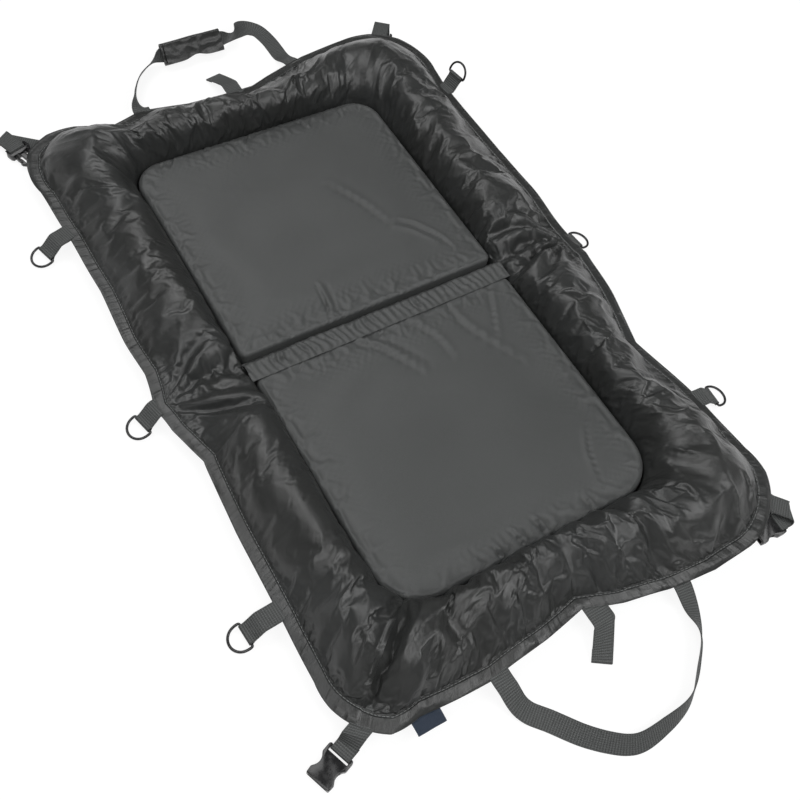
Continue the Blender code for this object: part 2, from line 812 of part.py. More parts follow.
def build_wrap(cloth, tape):
    """Padded sleeve round the far handle's webbing, and its overlapping fastening flap."""
    place = Vector((0, handle_root("far").y + WRAP_PLACE, wrap_height()))
    frame = Matrix.Translation(place) @ Matrix.Rotation(math.radians(-WRAP_TURN), 4, "X")
    half = WRAP_LENGTH / 2
    stations = (-1.0, -0.94, -0.4, 0.0, 0.4, 0.94, 1.0)
    outer, inner = [], []
    for place in stations:
        swell = 1 - 0.1 * (abs(place) > 0.95) + 0.04 * math.cos(math.pi * place)
        section = oval(WRAP_WIDTH * min(swell, 1.0), WRAP_DEPTH * min(swell, 1.0), 6)
        outer.append([Vector((place * half, a, o)) for a, o in section])
    slot = oval(WRAP_SLOT_WIDTH, WRAP_SLOT_DEPTH, 6)
    for place in (-1.0, 1.0):
        inner.append([Vector((place * (half + OVERRUN), a, o)) for a, o in slot])
    sleeve = add_object("handle_wrap", loft("handle_wrap", outer), cloth)
    sleeve.matrix_world = frame
    hole = tool_from(loft("handle_wrap_slot", inner))
    hole.matrix_world = frame
    combine(sleeve, hole)
    build_flap(frame, half, tape)
    report_hinge("wrap_flap", frame, flap_pivot(), (1, 0, 0))


def flap_pivot():
    return Vector((0, FLAP_WIDTH / 2, WRAP_DEPTH / 2 + CLEAR + FLAP_THICK / 2))


def build_flap(frame, half, tape):
    """The flap lies on the wrap's outer face and opens about its upper long edge."""
    length = half * 2 - 4 * FLAP_THICK
    outline = [
        (-length / 2, 0),
        (-length / 2, -FLAP_WIDTH + FLAP_THICK),
        (-length / 2 + FLAP_THICK, -FLAP_WIDTH),
        (length / 2 - FLAP_THICK, -FLAP_WIDTH),
        (length / 2, -FLAP_WIDTH + FLAP_THICK),
        (length / 2, 0),
    ]
    mesh = slab("wrap_flap", outline, -FLAP_THICK / 2, FLAP_THICK / 2)
    flap = add_object("wrap_flap", mesh, tape, 30.0)
    flap.matrix_world = frame @ Matrix.Translation(flap_pivot())


def build_closure(half, yaw, patch_name, web, tape):
    """Short centre strap, drooping from the hem, with its fastening patch underneath its end."""
    sign = HALVES[half][0]
    yaw_frame = hem_frame((CLOSURE_SHIFT, handle_root(half).y), 90 * sign + yaw, TAB_HEIGHT)
    steps = 8
    centres = []
    for i in range(steps + 1):
        out = CLOSURE_LENGTH * i / steps
        drop = smooth(out / CLOSURE_DROP_RUN)
        rest = WEB_REST + PATCH_THICK + CLEAR
        centres.append(Vector((out, 0, (rest - TAB_HEIGHT) * drop)))
    slant = math.radians(yaw)
    hem_line = Vector((math.sin(slant), math.cos(slant), 0)) / math.cos(slant)
    square = Vector((0, 1, 0))
    acrosses = [hem_line.lerp(square, i / steps) for i in range(steps + 1)]
    name = half + "_closure_tab"
    tab = add_object(name, ribbon(name, centres, acrosses), web, 50.0)
    tab.matrix_world = yaw_frame
    low = WEB_REST - WEB_THICK / 2 - TAB_HEIGHT
    start = CLOSURE_LENGTH - PATCH_LENGTH / 2
    half_width = WEB_WIDTH / 2 - CLEAR
    outline = [
        (start, -half_width),
        (CLOSURE_LENGTH, -half_width),
        (CLOSURE_LENGTH, half_width),
        (start, half_width),
    ]
    patch = add_object(patch_name, slab(patch_name, outline, low, low + PATCH_THICK), tape, 30.0)
    patch.matrix_world = yaw_frame
    hinge = Matrix.Translation(yaw_frame.translation)
    report_hinge(half + "_closure", hinge, (0, 0, 0), (-sign, 0, 0))


# Corner straps and side-release buckles


def mirrored(half_outline):
    """A closed outline from the points of its +Y side, listed from the rear to the front."""
    return half_outline + [(x, -y) for x, y in reversed(half_outline)]


def from_bar(points):
    """Moves an outline listed from a buckle's rear end, so that it starts at its bar's axis."""
    return [(x - BUCKLE_BAR / 2, y) for x, y in points]


def box_outline(low_x, high_x, half_y):
    return [(low_x, -half_y), (high_x, -half_y), (high_x, half_y), (low_x, half_y)]


def rod(name, radius, reach, sides=10):
    """A round rod along Y through the origin."""
    turns = [2 * math.pi * i / sides for i in range(sides)]
    section = [(radius * math.cos(turn), radius * math.sin(turn)) for turn in turns]
    return loft(name, [[(x, y, z) for x, z in section] for y in (-reach, reach)])


def add_strap_bar(body, frame):
    """Opens the buckle's rear end between two lugs and joins them with the strap's bar."""
    half_y = WEB_WIDTH / 2 + 2 * CLEAR
    reach = BUCKLE_THICK / 2 + OVERRUN
    outline = from_bar(box_outline(-OVERRUN, BUCKLE_BAR + BUCKLE_SLOT, half_y))
    combine(body, tool_from(slab(body.name + "_strap_slot", outline, -reach, reach), frame))
    lug = BUCKLE_WIDTH / 2 - half_y
    bar = rod(body.name + "_strap_bar", BUCKLE_BAR / 2, half_y + lug / 2)
    combine(body, tool_from(bar, frame), "UNION")


def build_female(name, frame, material):
    """Housing with an open socket, waisted sides that bare the arms, and a strap bar."""
    half = BUCKLE_WIDTH / 2
    side = [(0, half - BUCKLE_BAR / 2), (BUCKLE_BAR / 2, half), (FEMALE_WAIST_START, half)]
    for i in range(1, 9):
        share = i / 9
        x = FEMALE_WAIST_START + FEMALE_WAIST_LENGTH * share
        side.append((x, half - FEMALE_WAIST_DEPTH * math.sin(math.pi * share) ** 0.8))
    front = FEMALE_WAIST_START + FEMALE_WAIST_LENGTH
    side += [(front, half - BUCKLE_EDGE / 2), (FEMALE_LENGTH, half - BUCKLE_EDGE)]
    mesh = slab(name, from_bar(mirrored(side)), -BUCKLE_THICK / 2, BUCKLE_THICK / 2)
    body = add_object(name, mesh, material)
    body.matrix_world = frame
    round_edges(body, BUCKLE_EDGE, 2)
    socket_half = half - FEMALE_MOUTH_WALL - BUCKLE_EDGE
    inner_end = FEMALE_LENGTH - FEMALE_SOCKET_DEPTH
    outline = from_bar(box_outline(inner_end, FEMALE_LENGTH + OVERRUN, socket_half))
    thick = FEMALE_SOCKET_THICK / 2
    combine(body, tool_from(slab(name + "_socket", outline, -thick, thick), frame))
    add_strap_bar(body, frame)
    return body


def build_male(name, frame, material):
    """Strap end with a centre tongue that guides it in; the arms are pieces of their own."""
    half = BUCKLE_WIDTH / 2
    tongue = MALE_TONGUE_WIDTH / 2
    tip = MALE_BASE_LENGTH + MALE_TONGUE_LENGTH
    side = [
        (0, half - BUCKLE_BAR / 2),
        (BUCKLE_BAR / 2, half),
        (MALE_BASE_LENGTH - BUCKLE_BAR, half),
        (MALE_BASE_LENGTH, half - BUCKLE_BAR / 2),
        (MALE_BASE_LENGTH, tongue + BUCKLE_BAR / 2),
        (MALE_BASE_LENGTH + BUCKLE_BAR / 2, tongue),
        (tip - tongue, tongue),
        (tip, tongue / 2),
    ]
    mesh = slab(name, from_bar(mirrored(side)), -BUCKLE_THICK / 2, BUCKLE_THICK / 2)
    body = add_object(name, mesh, material)
    body.matrix_world = frame
    relief = BUCKLE_THICK / 2 + OVERRUN
    gap = MALE_TONGUE_THICK / 2
    start = MALE_BASE_LENGTH + BUCKLE_EDGE
    outline = from_bar(box_outline(start, tip + OVERRUN, half + OVERRUN))
    for face, low, high in (("top", gap, relief), ("bottom", -relief, -gap)):
        combine(body, tool_from(slab(f"{name}_{face}_relief", outline, low, high), frame))
    add_strap_bar(body, frame)
    return body


def arm_root(sign):
    return Vector((MALE_BASE_LENGTH - BUCKLE_BAR / 2, sign * ARM_OFFSET, 0))


def build_arm(name, frame, sign, material):
    """Curved spring arm with a barbed head, its origin at the root where it bends."""
    stem = ARM_WIDTH / 2
    neck = ARM_LENGTH - ARM_HEAD_LENGTH
    outside = []
    for i in range(5):
        share = i / 4
        bow = ARM_HEAD_FLARE * 0.5 * math.sin(math.pi * share)
        outside.append((neck * share + CLEAR, stem + bow))
    outside += [
        (neck + CLEAR * 2, stem + ARM_HEAD_FLARE),
        (neck + ARM_HEAD_LENGTH * 0.45, stem + ARM_HEAD_FLARE * 0.92),
        (ARM_LENGTH - ARM_WIDTH / 3, stem * 0.5),
        (ARM_LENGTH, 0.0),
    ]
    inside = [
        (ARM_LENGTH - ARM_WIDTH / 3, -stem * 0.6),
        (neck, -stem),
        (neck * 0.5, -stem + ARM_HEAD_FLARE * 0.3),
        (CLEAR, -stem),
    ]
    outline = [(x, sign * y) for x, y in outside + inside]
    mesh = slab(name, outline, -ARM_THICK / 2, ARM_THICK / 2)
    arm = add_object(name, mesh, material)
    arm.matrix_world = frame @ Matrix.Translation(arm_root(sign))
    return arm


def heading(degrees):
    angle = math.radians(degrees)
    return Vector((math.cos(angle), math.sin(angle), 0))


def left_of(way):
    return Vector((-way.y, way.x, 0))


def strap_fold(corner, way_in, way_out, radius, steps=6):
    """Points and ways across where flat webbing doubles back, with its fold line slanted."""
    line = (way_in + way_out).normalized()
    along_line = way_in.dot(line)
    across_line = math.sqrt(1 - along_line**2)
    outward = (way_in - line * along_line) / across_line
    scale = 1 / across_line
    if line.dot(left_of(way_in)) < 0:
        scale = -scale
    centres, acrosses = [], []
    for i in range(1, steps + 1):
        turn = math.pi * i / steps
        slide = line * (abs(radius) * turn * along_line / across_line)
        out = outward * abs(radius) * math.sin(turn)
        rise = Vector((0, 0, radius * (1 - math.cos(turn))))
        centres.append(corner + slide + out + rise)
        acrosses.append(line * scale)
    return centres, acrosses


def build_strap(name, root, tangent, way, reach, turned, back, fold_height, material):
    """Corner strap from the hem to its buckle's bar, straight or doubled back once.

    Returns the frame at the bar's axis, with X towards the buckle's working end.
    """
    ply = BUCKLE_BAR / 2 + CLEAR + WEB_THICK / 2
    folded = turned is not None
    on_ply = folded and fold_height < BUCKLE_THICK
    buckle_height = BUCKLE_THICK / 2 + CLEAR + (WEB_THICK + 2 * CLEAR if on_ply else 0.0)
    end_height = fold_height if folded else buckle_height + ply
    skew = tangent.dot(left_of(way))
    centres, acrosses = [], []
    steps = 6
    run = min(STRAP_DROP_RUN, reach)
    outs = [run * i / steps for i in range(steps + 1)] + ([reach] if reach > run else [])
    for out in outs:
        height = TAB_HEIGHT + (end_height - TAB_HEIGHT) * smooth(out / run)
        centres.append(Vector((root.x, root.y, height)) + way * out)
        acrosses.append((tangent / skew).lerp(left_of(way), min(out / run, 1.0)))
    if folded:
        radius = (buckle_height + ply - fold_height) / 2
        more, ways = strap_fold(centres[-1], way, turned, radius)
        centres += more
        acrosses += ways
        way = turned
        centres.append(centres[-1] + way * back)
        acrosses.append(left_of(way) * (1 if acrosses[-1].dot(left_of(way)) > 0 else -1))
    across = acrosses[-1]
    hub = centres[-1] + way * ply - Vector((0, 0, ply))
    for i in range(1, 8):
        turn = math.radians(90 - 180 * i / 7)
        centres.append(hub + way * ply * math.cos(turn) + Vector((0, 0, ply * math.sin(turn))))
        acrosses.append(across)
    centres.append(centres[-1] - way * (STRAP_TAIL if not folded else STRAP_TAIL * 0.6))
    acrosses.append(across)
    add_object(name, ribbon(name, centres, acrosses), material, 50.0)
    return Matrix.Translation(hub) @ Matrix.Rotation(math.atan2(way.y, way.x), 4, "Z")


def build_label(material):
    """Bare folded label, sewn on the outer face of the near hem."""
    x = -LABEL_PLACE_SHARE * PAD_HALF_WIDTH
    y = -(HEM_END + CLEAR)
    low = HEM_BOTTOM
    outline = [
        (x - LABEL_WIDTH / 2, y - LABEL_REACH),
        (x + LABEL_WIDTH / 2, y - LABEL_REACH),
        (x + LABEL_WIDTH / 2, y),
        (x - LABEL_WIDTH / 2, y),
    ]
    mesh = slab("blank_label", outline, low, low + LABEL_THICK)
    add_object("blank_label", mesh, material, 30.0)


# Fittings: name, half or fold, place along the edge, turn from straight out, droop


def tab_pocket(owner, frame):
    """Room in the hem for the sewn end of a ring tab."""
    half_y = WEB_WIDTH / 2 + CLEAR
    outline = box_outline(-TAB_SEWN - CLEAR, OVERRUN, half_y)
    mesh = slab(owner.name + "_pocket", outline, -OVERRUN, TAB_THICK / 2 + CLEAR)
    pocket = tool_from(mesh)
    pocket.matrix_world = frame
    combine(owner, pocket)


def side_edge(y):
    """Half width of the hem at a distance from the fold."""
    full = PAD_HALF_WIDTH + WALL_FOOT_GAP + SIDE_WALL_WIDTH + HEM_WIDTH
    return full - FOLD_DRAW_IN * fold_fade(abs(y))


TABS = (
    ("near_left", "near", -1, -TAB_PLACE, 4.0, TAB_DROOP),
    ("near_right", "near", 1, -TAB_PLACE, -4.0, TAB_DROOP),
    ("middle_left", "fold", -1, 0.0, 14.0, TAB_DROOP),
    ("middle_right", "fold", 1, 0.0, 6.0, TAB_DROOP),
    ("far_left", "far", -1, TAB_PLACE, 16.0, TAB_DROOP),
    ("far_right", "far", 1, FAR_RIGHT_TAB_PLACE, 10.0, RAISED_TAB_LIFT),
)

STRAPS = (
    ("near_left", "near", -1, 1.5, 200.0, NEAR_LEFT_REACH, None, 0.0, 0.0),
    ("near_right", "near", 1, 1.5, -50.0, NEAR_RIGHT_REACH, 178.0, TUCKED_STRAP_RETURN, TUCKED_FOLD_HEIGHT),
    ("far_left", "far", -1, 1.75, 141.0, FAR_LEFT_REACH, -70.0, FOLDED_STRAP_RETURN, WEB_REST),
    ("far_right", "far", 1, 1.7, 50.0, FAR_RIGHT_REACH, -120.0, TUCKED_STRAP_RETURN, TUCKED_FOLD_HEIGHT),
)


def hem_place(half, mirror, station):
    """A place on the hem's edge, and the way along the hem there."""
    corner = HALVES[half][1]
    points = [rim_point(station + step, 1.0, corner, HEM_WIDTH) for step in (-0.01, 0.0, 0.01)]
    before, place, after = (Vector((mirror * x, HALVES[half][0] * y, 0)) for x, y in points)
    return place, (after - before).normalized()


def report_hinge(name, frame, place, axis):
    position = frame @ Vector(place)
    direction = frame.to_3x3() @ Vector(axis)
    numbers = [round(value, 6) for value in (*position, *direction)]
    print("hinge", name, numbers)


def hang_together():
    """Parents each moving piece to what carries it, and the far half to the fold's axis."""
    pieces = [obj for obj in bpy.data.objects if obj.type == "MESH" and not obj.hide_render]
    axis = bpy.data.objects.new("fold_axis", None)
    bpy.context.scene.collection.objects.link(axis)
    axis.matrix_world = Matrix.Translation(Vector((0, 0, FOLD_AXIS_HEIGHT)))
    named = {obj.name: obj for obj in pieces}
    carried = {
        "handle_wrap": "far_handle_webbing",
        "wrap_flap": "handle_wrap",
        "near_hook_patch": "near_closure_tab",
        "far_loop_patch": "far_closure_tab",
    }
    for child, holder in carried.items():
        follow(named[child], named[holder])
    for obj in pieces:
        if obj.name.startswith("far_") and obj.parent is None:
            follow(obj, axis)


def main():
    clear_scene()
    pad_cloth = make_material("Pad cloth", (0.070, 0.076, 0.074), 0.62)
    wall_cloth = make_material("Wall cloth", (0.052, 0.056, 0.055), 0.38)
    base_cloth = make_material("Base cloth", (0.030, 0.032, 0.032), 0.60)
    foam = make_material("Foam", (0.62, 0.60, 0.52), 0.90)
    filling = make_material("Bead filling", (0.80, 0.80, 0.78), 0.85)
    webbing = make_material("Webbing", (0.070, 0.078, 0.076), 0.72)
    hook_tape = make_material("Hook tape", (0.018, 0.018, 0.018), 0.80)
    loop_tape = make_material("Loop tape", (0.045, 0.046, 0.036), 0.92)
    ring_plastic = make_material("Ring", (0.012, 0.012, 0.013), 0.35)
    buckle_plastic = make_material("Buckle", (0.010, 0.010, 0.011), 0.28)
    label_cloth = make_material("Label", (0.012, 0.020, 0.038), 0.60)

    hems = {}
    for half in HALVES:
        build_base(half, base_cloth)
        hems[half] = build_hem(half, wall_cloth)
        build_pad(half, pad_cloth, foam)
        for side, mirror in SIDES.items():
            name = f"{half}_{side}_wall"
            stuffed_wall(name, half, SIDE_STATIONS, mirror, wall_cloth, filling)
        stuffed_wall(half + "_end_wall", half, END_STATIONS, 1, wall_cloth, filling)

    build_fold_strip(base_cloth)
    build_fold_channel(pad_cloth)
    gathers = {side: build_fold_gather(side, wall_cloth) for side in SIDES}

    for name, owner, sign, place, yaw, droop in TABS:
        edge = sign * side_edge(place)
        base_angle = 0.0 if sign > 0 else 180.0
        frame = hem_frame((edge, place), base_angle + yaw, TAB_HEIGHT)
        holder = hems[owner] if owner in hems else gathers["left" if sign < 0 else "right"]
        tab_pocket(holder, frame)
        eye = build_ring_tab(name + "_ring_tab", frame, droop, webbing)
        drop = eye.z + TAB_HEIGHT - RING_WIRE / 2 - CLEAR
        pitch = math.degrees(math.asin(drop / (RING_DEPTH - RING_WIRE))) if droop > 0 else RAISED_RING_PITCH
        build_ring(name + "_ring", frame, eye, pitch, ring_plastic)
        report_hinge(name + "_ring", frame, eye, (0, -1, 0))

    build_handle("near", NEAR_HANDLE_ROUTE, False, webbing)
    build_handle("far", FAR_HANDLE_ROUTE, True, webbing)
    build_wrap(wall_cloth, loop_tape)
    build_closure("near", -34.0, "near_hook_patch", webbing, hook_tape)
    build_closure("far", 10.0, "far_loop_patch", webbing, loop_tape)
    build_label(label_cloth)

    for name, half, mirror, station, out, reach, turned, back, fold_height in STRAPS:
        place, along = hem_place(half, mirror, station)
        way = heading(out)
        root = place + left_of(along) * (ROOT_GAP if left_of(along).dot(place) > 0 else -ROOT_GAP)
        turned = heading(turned) if turned is not None else None
        strap = name + "_strap"
        frame = build_strap(strap, root, along, way, reach, turned, back, fold_height, webbing)
        if half == "near":
            buckle = name + "_female_buckle"
            build_female(buckle, frame, buckle_plastic)
        else:
            buckle = name + "_male_buckle"
            body = build_male(buckle, frame, buckle_plastic)
            for side, sign in (("left", 1), ("right", -1)):
                arm = build_arm(f"{buckle}_{side}_arm", frame, sign, buckle_plastic)
                follow(arm, body)
                report_hinge(arm.name, frame, arm_root(sign), (0, 0, 1))
        report_hinge(buckle, frame, (0, 0, 0), (0, 1, 0))
    hang_together()


main()
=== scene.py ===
# %% [markdown]
# # Unhooking mat
# An angler lays a landed fish on this mat. It has two flat padded beds, a soft bolster all the way
# round them, and a gathered line across the middle where it folds shut. The rigid fittings come
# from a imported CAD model. This lesson dresses that model: it sews the cloth, blows up the
# bolsters with a cloth simulation, weaves the webbing and gives each piece its finish.

import json
import math

import bpy
import numpy as np
from mathutils import Matrix, Vector, noise


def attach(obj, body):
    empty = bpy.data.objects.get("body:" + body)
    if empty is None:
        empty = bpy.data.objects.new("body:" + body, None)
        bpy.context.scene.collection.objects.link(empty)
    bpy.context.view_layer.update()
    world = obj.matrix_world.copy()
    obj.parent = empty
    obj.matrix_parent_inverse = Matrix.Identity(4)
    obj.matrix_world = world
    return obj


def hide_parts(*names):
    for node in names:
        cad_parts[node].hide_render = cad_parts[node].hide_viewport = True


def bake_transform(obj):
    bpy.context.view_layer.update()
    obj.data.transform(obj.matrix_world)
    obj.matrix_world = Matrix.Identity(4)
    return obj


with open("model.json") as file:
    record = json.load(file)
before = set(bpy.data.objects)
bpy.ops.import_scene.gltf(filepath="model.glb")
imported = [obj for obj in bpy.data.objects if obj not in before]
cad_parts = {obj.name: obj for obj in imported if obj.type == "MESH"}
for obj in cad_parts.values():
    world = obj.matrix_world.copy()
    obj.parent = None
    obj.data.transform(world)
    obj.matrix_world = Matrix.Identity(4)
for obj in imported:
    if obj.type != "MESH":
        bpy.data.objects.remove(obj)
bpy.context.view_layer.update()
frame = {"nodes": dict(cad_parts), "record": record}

# %% [markdown]
# ## Camera, light and floor
# The camera stands where the photographer stood: above the near left corner, looking down at 57
# degrees and rolled by 13. Coated cloth is mostly reflection, so the lamps matter as much as the
# cloth: a big soft lamp beyond the far end draws the highlights along the bolsters, one at the near
# right lights the near end, and a weaker one beside the camera fills the rest.

# %% Camera
PHOTO_SIDE = 800
FOCAL_PIXELS = 1012.9
SENSOR = 36.0
CAMERA_AZIMUTH = math.radians(-41.6)
CAMERA_ELEVATION = math.radians(57.12)
CAMERA_DISTANCE = 1.31583
CAMERA_TARGET = Vector((-0.03317, -0.11494, 0.0))
CAMERA_ROLL = math.radians(12.67)


def direction(azimuth, elevation):
    """From the mat towards an eye or a lamp at this azimuth and elevation."""
    level = math.cos(elevation)
    return Vector((math.sin(azimuth) * level, -math.cos(azimuth) * level, math.sin(elevation)))


back = direction(CAMERA_AZIMUTH, CAMERA_ELEVATION)
level_right = Vector((math.cos(CAMERA_AZIMUTH), math.sin(CAMERA_AZIMUTH), 0.0))
level_up = back.cross(level_right)
right = level_right * math.cos(CAMERA_ROLL) + level_up * math.sin(CAMERA_ROLL)
up = level_up * math.cos(CAMERA_ROLL) - level_right * math.sin(CAMERA_ROLL)
eye = CAMERA_TARGET + back * CAMERA_DISTANCE

bpy.ops.object.select_all(action="DESELECT")
bpy.ops.object.camera_add(location=eye)
camera = bpy.context.object
camera.name = "photo_camera"
camera.data.sensor_width = SENSOR
camera.data.lens = FOCAL_PIXELS * SENSOR / PHOTO_SIDE
camera.matrix_world = Matrix(
    (
        (right.x, up.x, back.x, eye.x),
        (right.y, up.y, back.y, eye.y),
        (right.z, up.z, back.z, eye.z),
        (0, 0, 0, 1),
    )
)
bpy.context.scene.camera = camera
print("lens in mm:", round(camera.data.lens, 2))

# %% Lamps and world
LAMPS = (
    # name, azimuth, elevation, distance, width, height, watts
    ("back_lamp", 194.0, 60.0, 3.4, 2.6, 2.1, 52.0),
    ("near_lamp", 34.0, 50.0, 2.6, 1.8, 1.4, 30.0),
    ("fill_lamp", -52.0, 52.0, 2.6, 1.6, 1.2, 19.0),
)
for name, azimuth, elevation, distance, width, height, watts in LAMPS:
    way = direction(math.radians(azimuth), math.radians(elevation))
    bpy.ops.object.light_add(type="AREA", location=way * distance)
    lamp = bpy.context.object
    lamp.name = name
    lamp.data.shape = "RECTANGLE"
    lamp.data.size, lamp.data.size_y = width, height
    lamp.data.energy = watts
    lamp.rotation_mode = "QUATERNION"
    lamp.rotation_quaternion = way.to_track_quat("Z", "Y")

# a dim white sky lights the mat, and the camera itself sees a full white one
WHITE = (1.0, 1.0, 1.0, 1.0)
SKY_LIGHT = 0.11
SKY_SEEN = 1.0
world = bpy.data.worlds.new("studio")
bpy.context.scene.world = world
world.use_nodes = True
nodes = world.node_tree.nodes
sky, seen_sky = nodes["Background"], nodes.new("ShaderNodeBackground")
for background, strength in ((sky, SKY_LIGHT), (seen_sky, SKY_SEEN)):
    background.inputs["Color"].default_value = WHITE
    background.inputs["Strength"].default_value = strength
paths = nodes.new("ShaderNodeLightPath")
either = nodes.new("ShaderNodeMixShader")
for source, target in (
    (paths.outputs["Is Camera Ray"], either.inputs[0]),
    (sky.outputs[0], either.inputs[1]),
    (seen_sky.outputs[0], either.inputs[2]),
    (either.outputs[0], nodes["World Output"].inputs["Surface"]),
):
    world.node_tree.links.new(source, target)
bpy.context.scene.view_settings.view_transform = "Standard"

# %% Floor
FLOOR_SIDE = 12.0
bpy.ops.mesh.primitive_plane_add(size=FLOOR_SIDE, location=(0, 0, 0))
floor = bpy.context.object
floor.name = "floor"

# %% [markdown]
# ## Shader sums as Python
# A finish is a chain of nodes. Wiring each one by hand hides the idea, so a socket is wrapped in a
# small class that adds, multiplies and compares: `1 - mask` then makes the Math node itself.


# %% Shader helpers
class Wire:
    """The output of a shader node, which can be used in a sum."""

    def __init__(self, finish, socket):
        self.finish, self.socket = finish, socket

    def sum(self, operation, *values):
        return self.finish.node("ShaderNodeMath", {"operation": operation}, dict(enumerate(values)))

    def __add__(self, other):
        return self.sum("ADD", self, other)

    def __sub__(self, other):
        return self.sum("SUBTRACT", self, other)

    def __rsub__(self, other):
        return self.sum("SUBTRACT", other, self)

    def __mul__(self, other):
        return self.sum("MULTIPLY", self, other)

    def __truediv__(self, other):
        return self.sum("DIVIDE", self, other)

    def __lt__(self, other):
        return self.sum("LESS_THAN", self, other)

    __radd__ = __add__
    __rmul__ = __mul__

    def of(self, operation, *others):
        return self.sum(operation, self, *others)


class Finish:
    """A material whose nodes are written as sums of Wires."""

    def __init__(self, name, roughness=0.5, **constants):
        self.material = bpy.data.materials.new(name)
        self.material.use_nodes = True
        self.tree = self.material.node_tree
        self.shader = self.tree.nodes["Principled BSDF"]
        self.shader.inputs["Roughness"].default_value = roughness
        for socket, value in constants.items():
            self.shader.inputs[socket.replace("_", " ")].default_value = value

    def node(self, kind, settings=None, inputs=None, output=0):
        made = self.tree.nodes.new(kind)
        for key, value in (settings or {}).items():
            setattr(made, key, value)
        for key, value in (inputs or {}).items():
            socket = made.inputs[key]
            if isinstance(value, Wire):
                self.tree.links.new(value.socket, socket)
            elif value is not None:
                socket.default_value = value
        return Wire(self, made.outputs[output])

    def place(self, scale=(1, 1, 1), uv=False, turn=0.0):
        source = self.node("ShaderNodeTexCoord", output="UV" if uv else "Object")
        values = {"Vector": source, "Scale": scale, "Rotation": (0, 0, turn)}
        return self.node("ShaderNodeMapping", inputs=values)

    def axes(self, vector):
        apart = self.tree.nodes.new("ShaderNodeSeparateXYZ")
        self.tree.links.new(vector.socket, apart.inputs[0])
        return [Wire(self, out) for out in apart.outputs]

    def noise(self, vector, scale, detail=3.0, rough=0.5, twist=0.0):
        values = {"Vector": vector, "Scale": scale, "Detail": detail}
        values.update({"Roughness": rough, "Distortion": twist})
        return self.node("ShaderNodeTexNoise", inputs=values)

    def span(self, value, low, high, to_low=0.0, to_high=1.0):
        values = {"Value": value, "From Min": low, "From Max": high}
        values.update({"To Min": to_low, "To Max": to_high})
        return self.node("ShaderNodeMapRange", {"interpolation_type": "SMOOTHSTEP"}, values)

    def mix(self, share, first, second):
        values = {0: share, 6: first, 7: second}
        return self.node("ShaderNodeMix", {"data_type": "RGBA"}, values, output=2)

    def bump(self, height, strength, distance, under=None):
        values = {"Height": height, "Strength": strength, "Distance": distance, "Normal": under}
        return self.node("ShaderNodeBump", inputs=values)

    def surface(self, **wires):
        for socket, wire in wires.items():
            self.tree.links.new(wire.socket, self.shader.inputs[socket.replace("_", " ")])
        return self.material


def grey(value, warm=0.0):
    """A near-neutral cloth colour, as a linear RGBA value."""
    return (value * (0.955 + warm), value * (1.0 + warm * 0.3), value * (0.985 - warm), 1.0)


# %% [markdown]
# ## Cloth finishes
# The bolsters are coated nylon: smooth enough to mirror a lamp, with a fine weave, small crackles
# from being folded, and patches of a darker, slightly brown tone. The beds are a heavier, matt
# polyester. Two crossed waves make a weave; their pitch is that of the real threads. Sewing thread
# and gathers read the cloth's UV map, whose second number is the distance from the hem's edge.

# %% Coated nylon
STITCH_FROM_EDGE = 0.0155
STITCH_PITCH = 0.0046
STITCH_SHARE = 0.62
THREAD_HALF_WIDTH = 0.00045
SEAM_GROOVE_WIDTH = 0.0020
HEM_GATHERS_FROM, HEM_GATHERS_TO = 0.020, 0.034
NYLON_PITCH = 0.00075
POLYESTER_PITCH = 0.0011


def weave(finish, vector, pitch):
    """Height of a plain weave: threads over and under each other."""
    x, y, z = finish.axes(vector)
    turns = 2 * math.pi / pitch
    warp = (x * turns).of("SINE") * (y * (turns / 2)).of("SINE")
    weft = (y * turns).of("SINE") * (z * (turns / 2)).of("COSINE")
    return warp + weft


def nylon(name, light, dark, roughness, stitched):
    finish = Finish(name, Specular_IOR_Level=0.55)
    where = finish.place()
    cloudy = finish.noise(where, 9.0, 4.0, 0.55)
    fine = finish.noise(where, 1100.0, 2.0, 0.6)
    streaks = finish.noise(finish.place(scale=(1.0, 0.25, 1.0)), 46.0, 4.0, 0.6, 0.6)
    color = finish.mix(finish.span(cloudy, 0.32, 0.68), grey(dark, 0.03), grey(light))
    color = finish.mix(fine * 0.25, color, grey(light * 2.2))
    sheen = finish.span(streaks, 0.3, 0.7, roughness - 0.04, roughness + 0.10) + fine * 0.05
    crackle = finish.noise(where, 150.0, 5.0, 0.6, 0.6)
    normal = finish.bump(crackle, 0.13, 0.0012)
    normal = finish.bump(weave(finish, where, NYLON_PITCH), 0.25, 0.00008, normal)
    if stitched:
        along, over, _ = finish.axes(finish.place(uv=True))
        line = (over - STITCH_FROM_EDGE).of("ABSOLUTE") < THREAD_HALF_WIDTH
        dash = (along / STITCH_PITCH).of("FRACT") < STITCH_SHARE
        groove = finish.span((over - STITCH_FROM_EDGE).of("ABSOLUTE"), 0.0, SEAM_GROOVE_WIDTH)
        gathers = finish.noise(finish.place(scale=(120.0, 16.0, 1.0), uv=True), 1.0, 2.0, 0.5, 0.4)
        on_hem = finish.span(over, HEM_GATHERS_FROM, HEM_GATHERS_TO, 1.0, 0.0)
        color = finish.mix(line * dash, color, grey(0.15))
        normal = finish.bump(groove, 0.9, 0.0012, normal)
        normal = finish.bump(gathers * on_hem, 0.55, 0.0040, normal)
    return finish.surface(Base_Color=color, Roughness=sheen, Normal=normal)


bolster_nylon = nylon("bolster_nylon", 0.029, 0.020, 0.30, True)
plain_nylon = nylon("plain_nylon", 0.026, 0.018, 0.32, False)


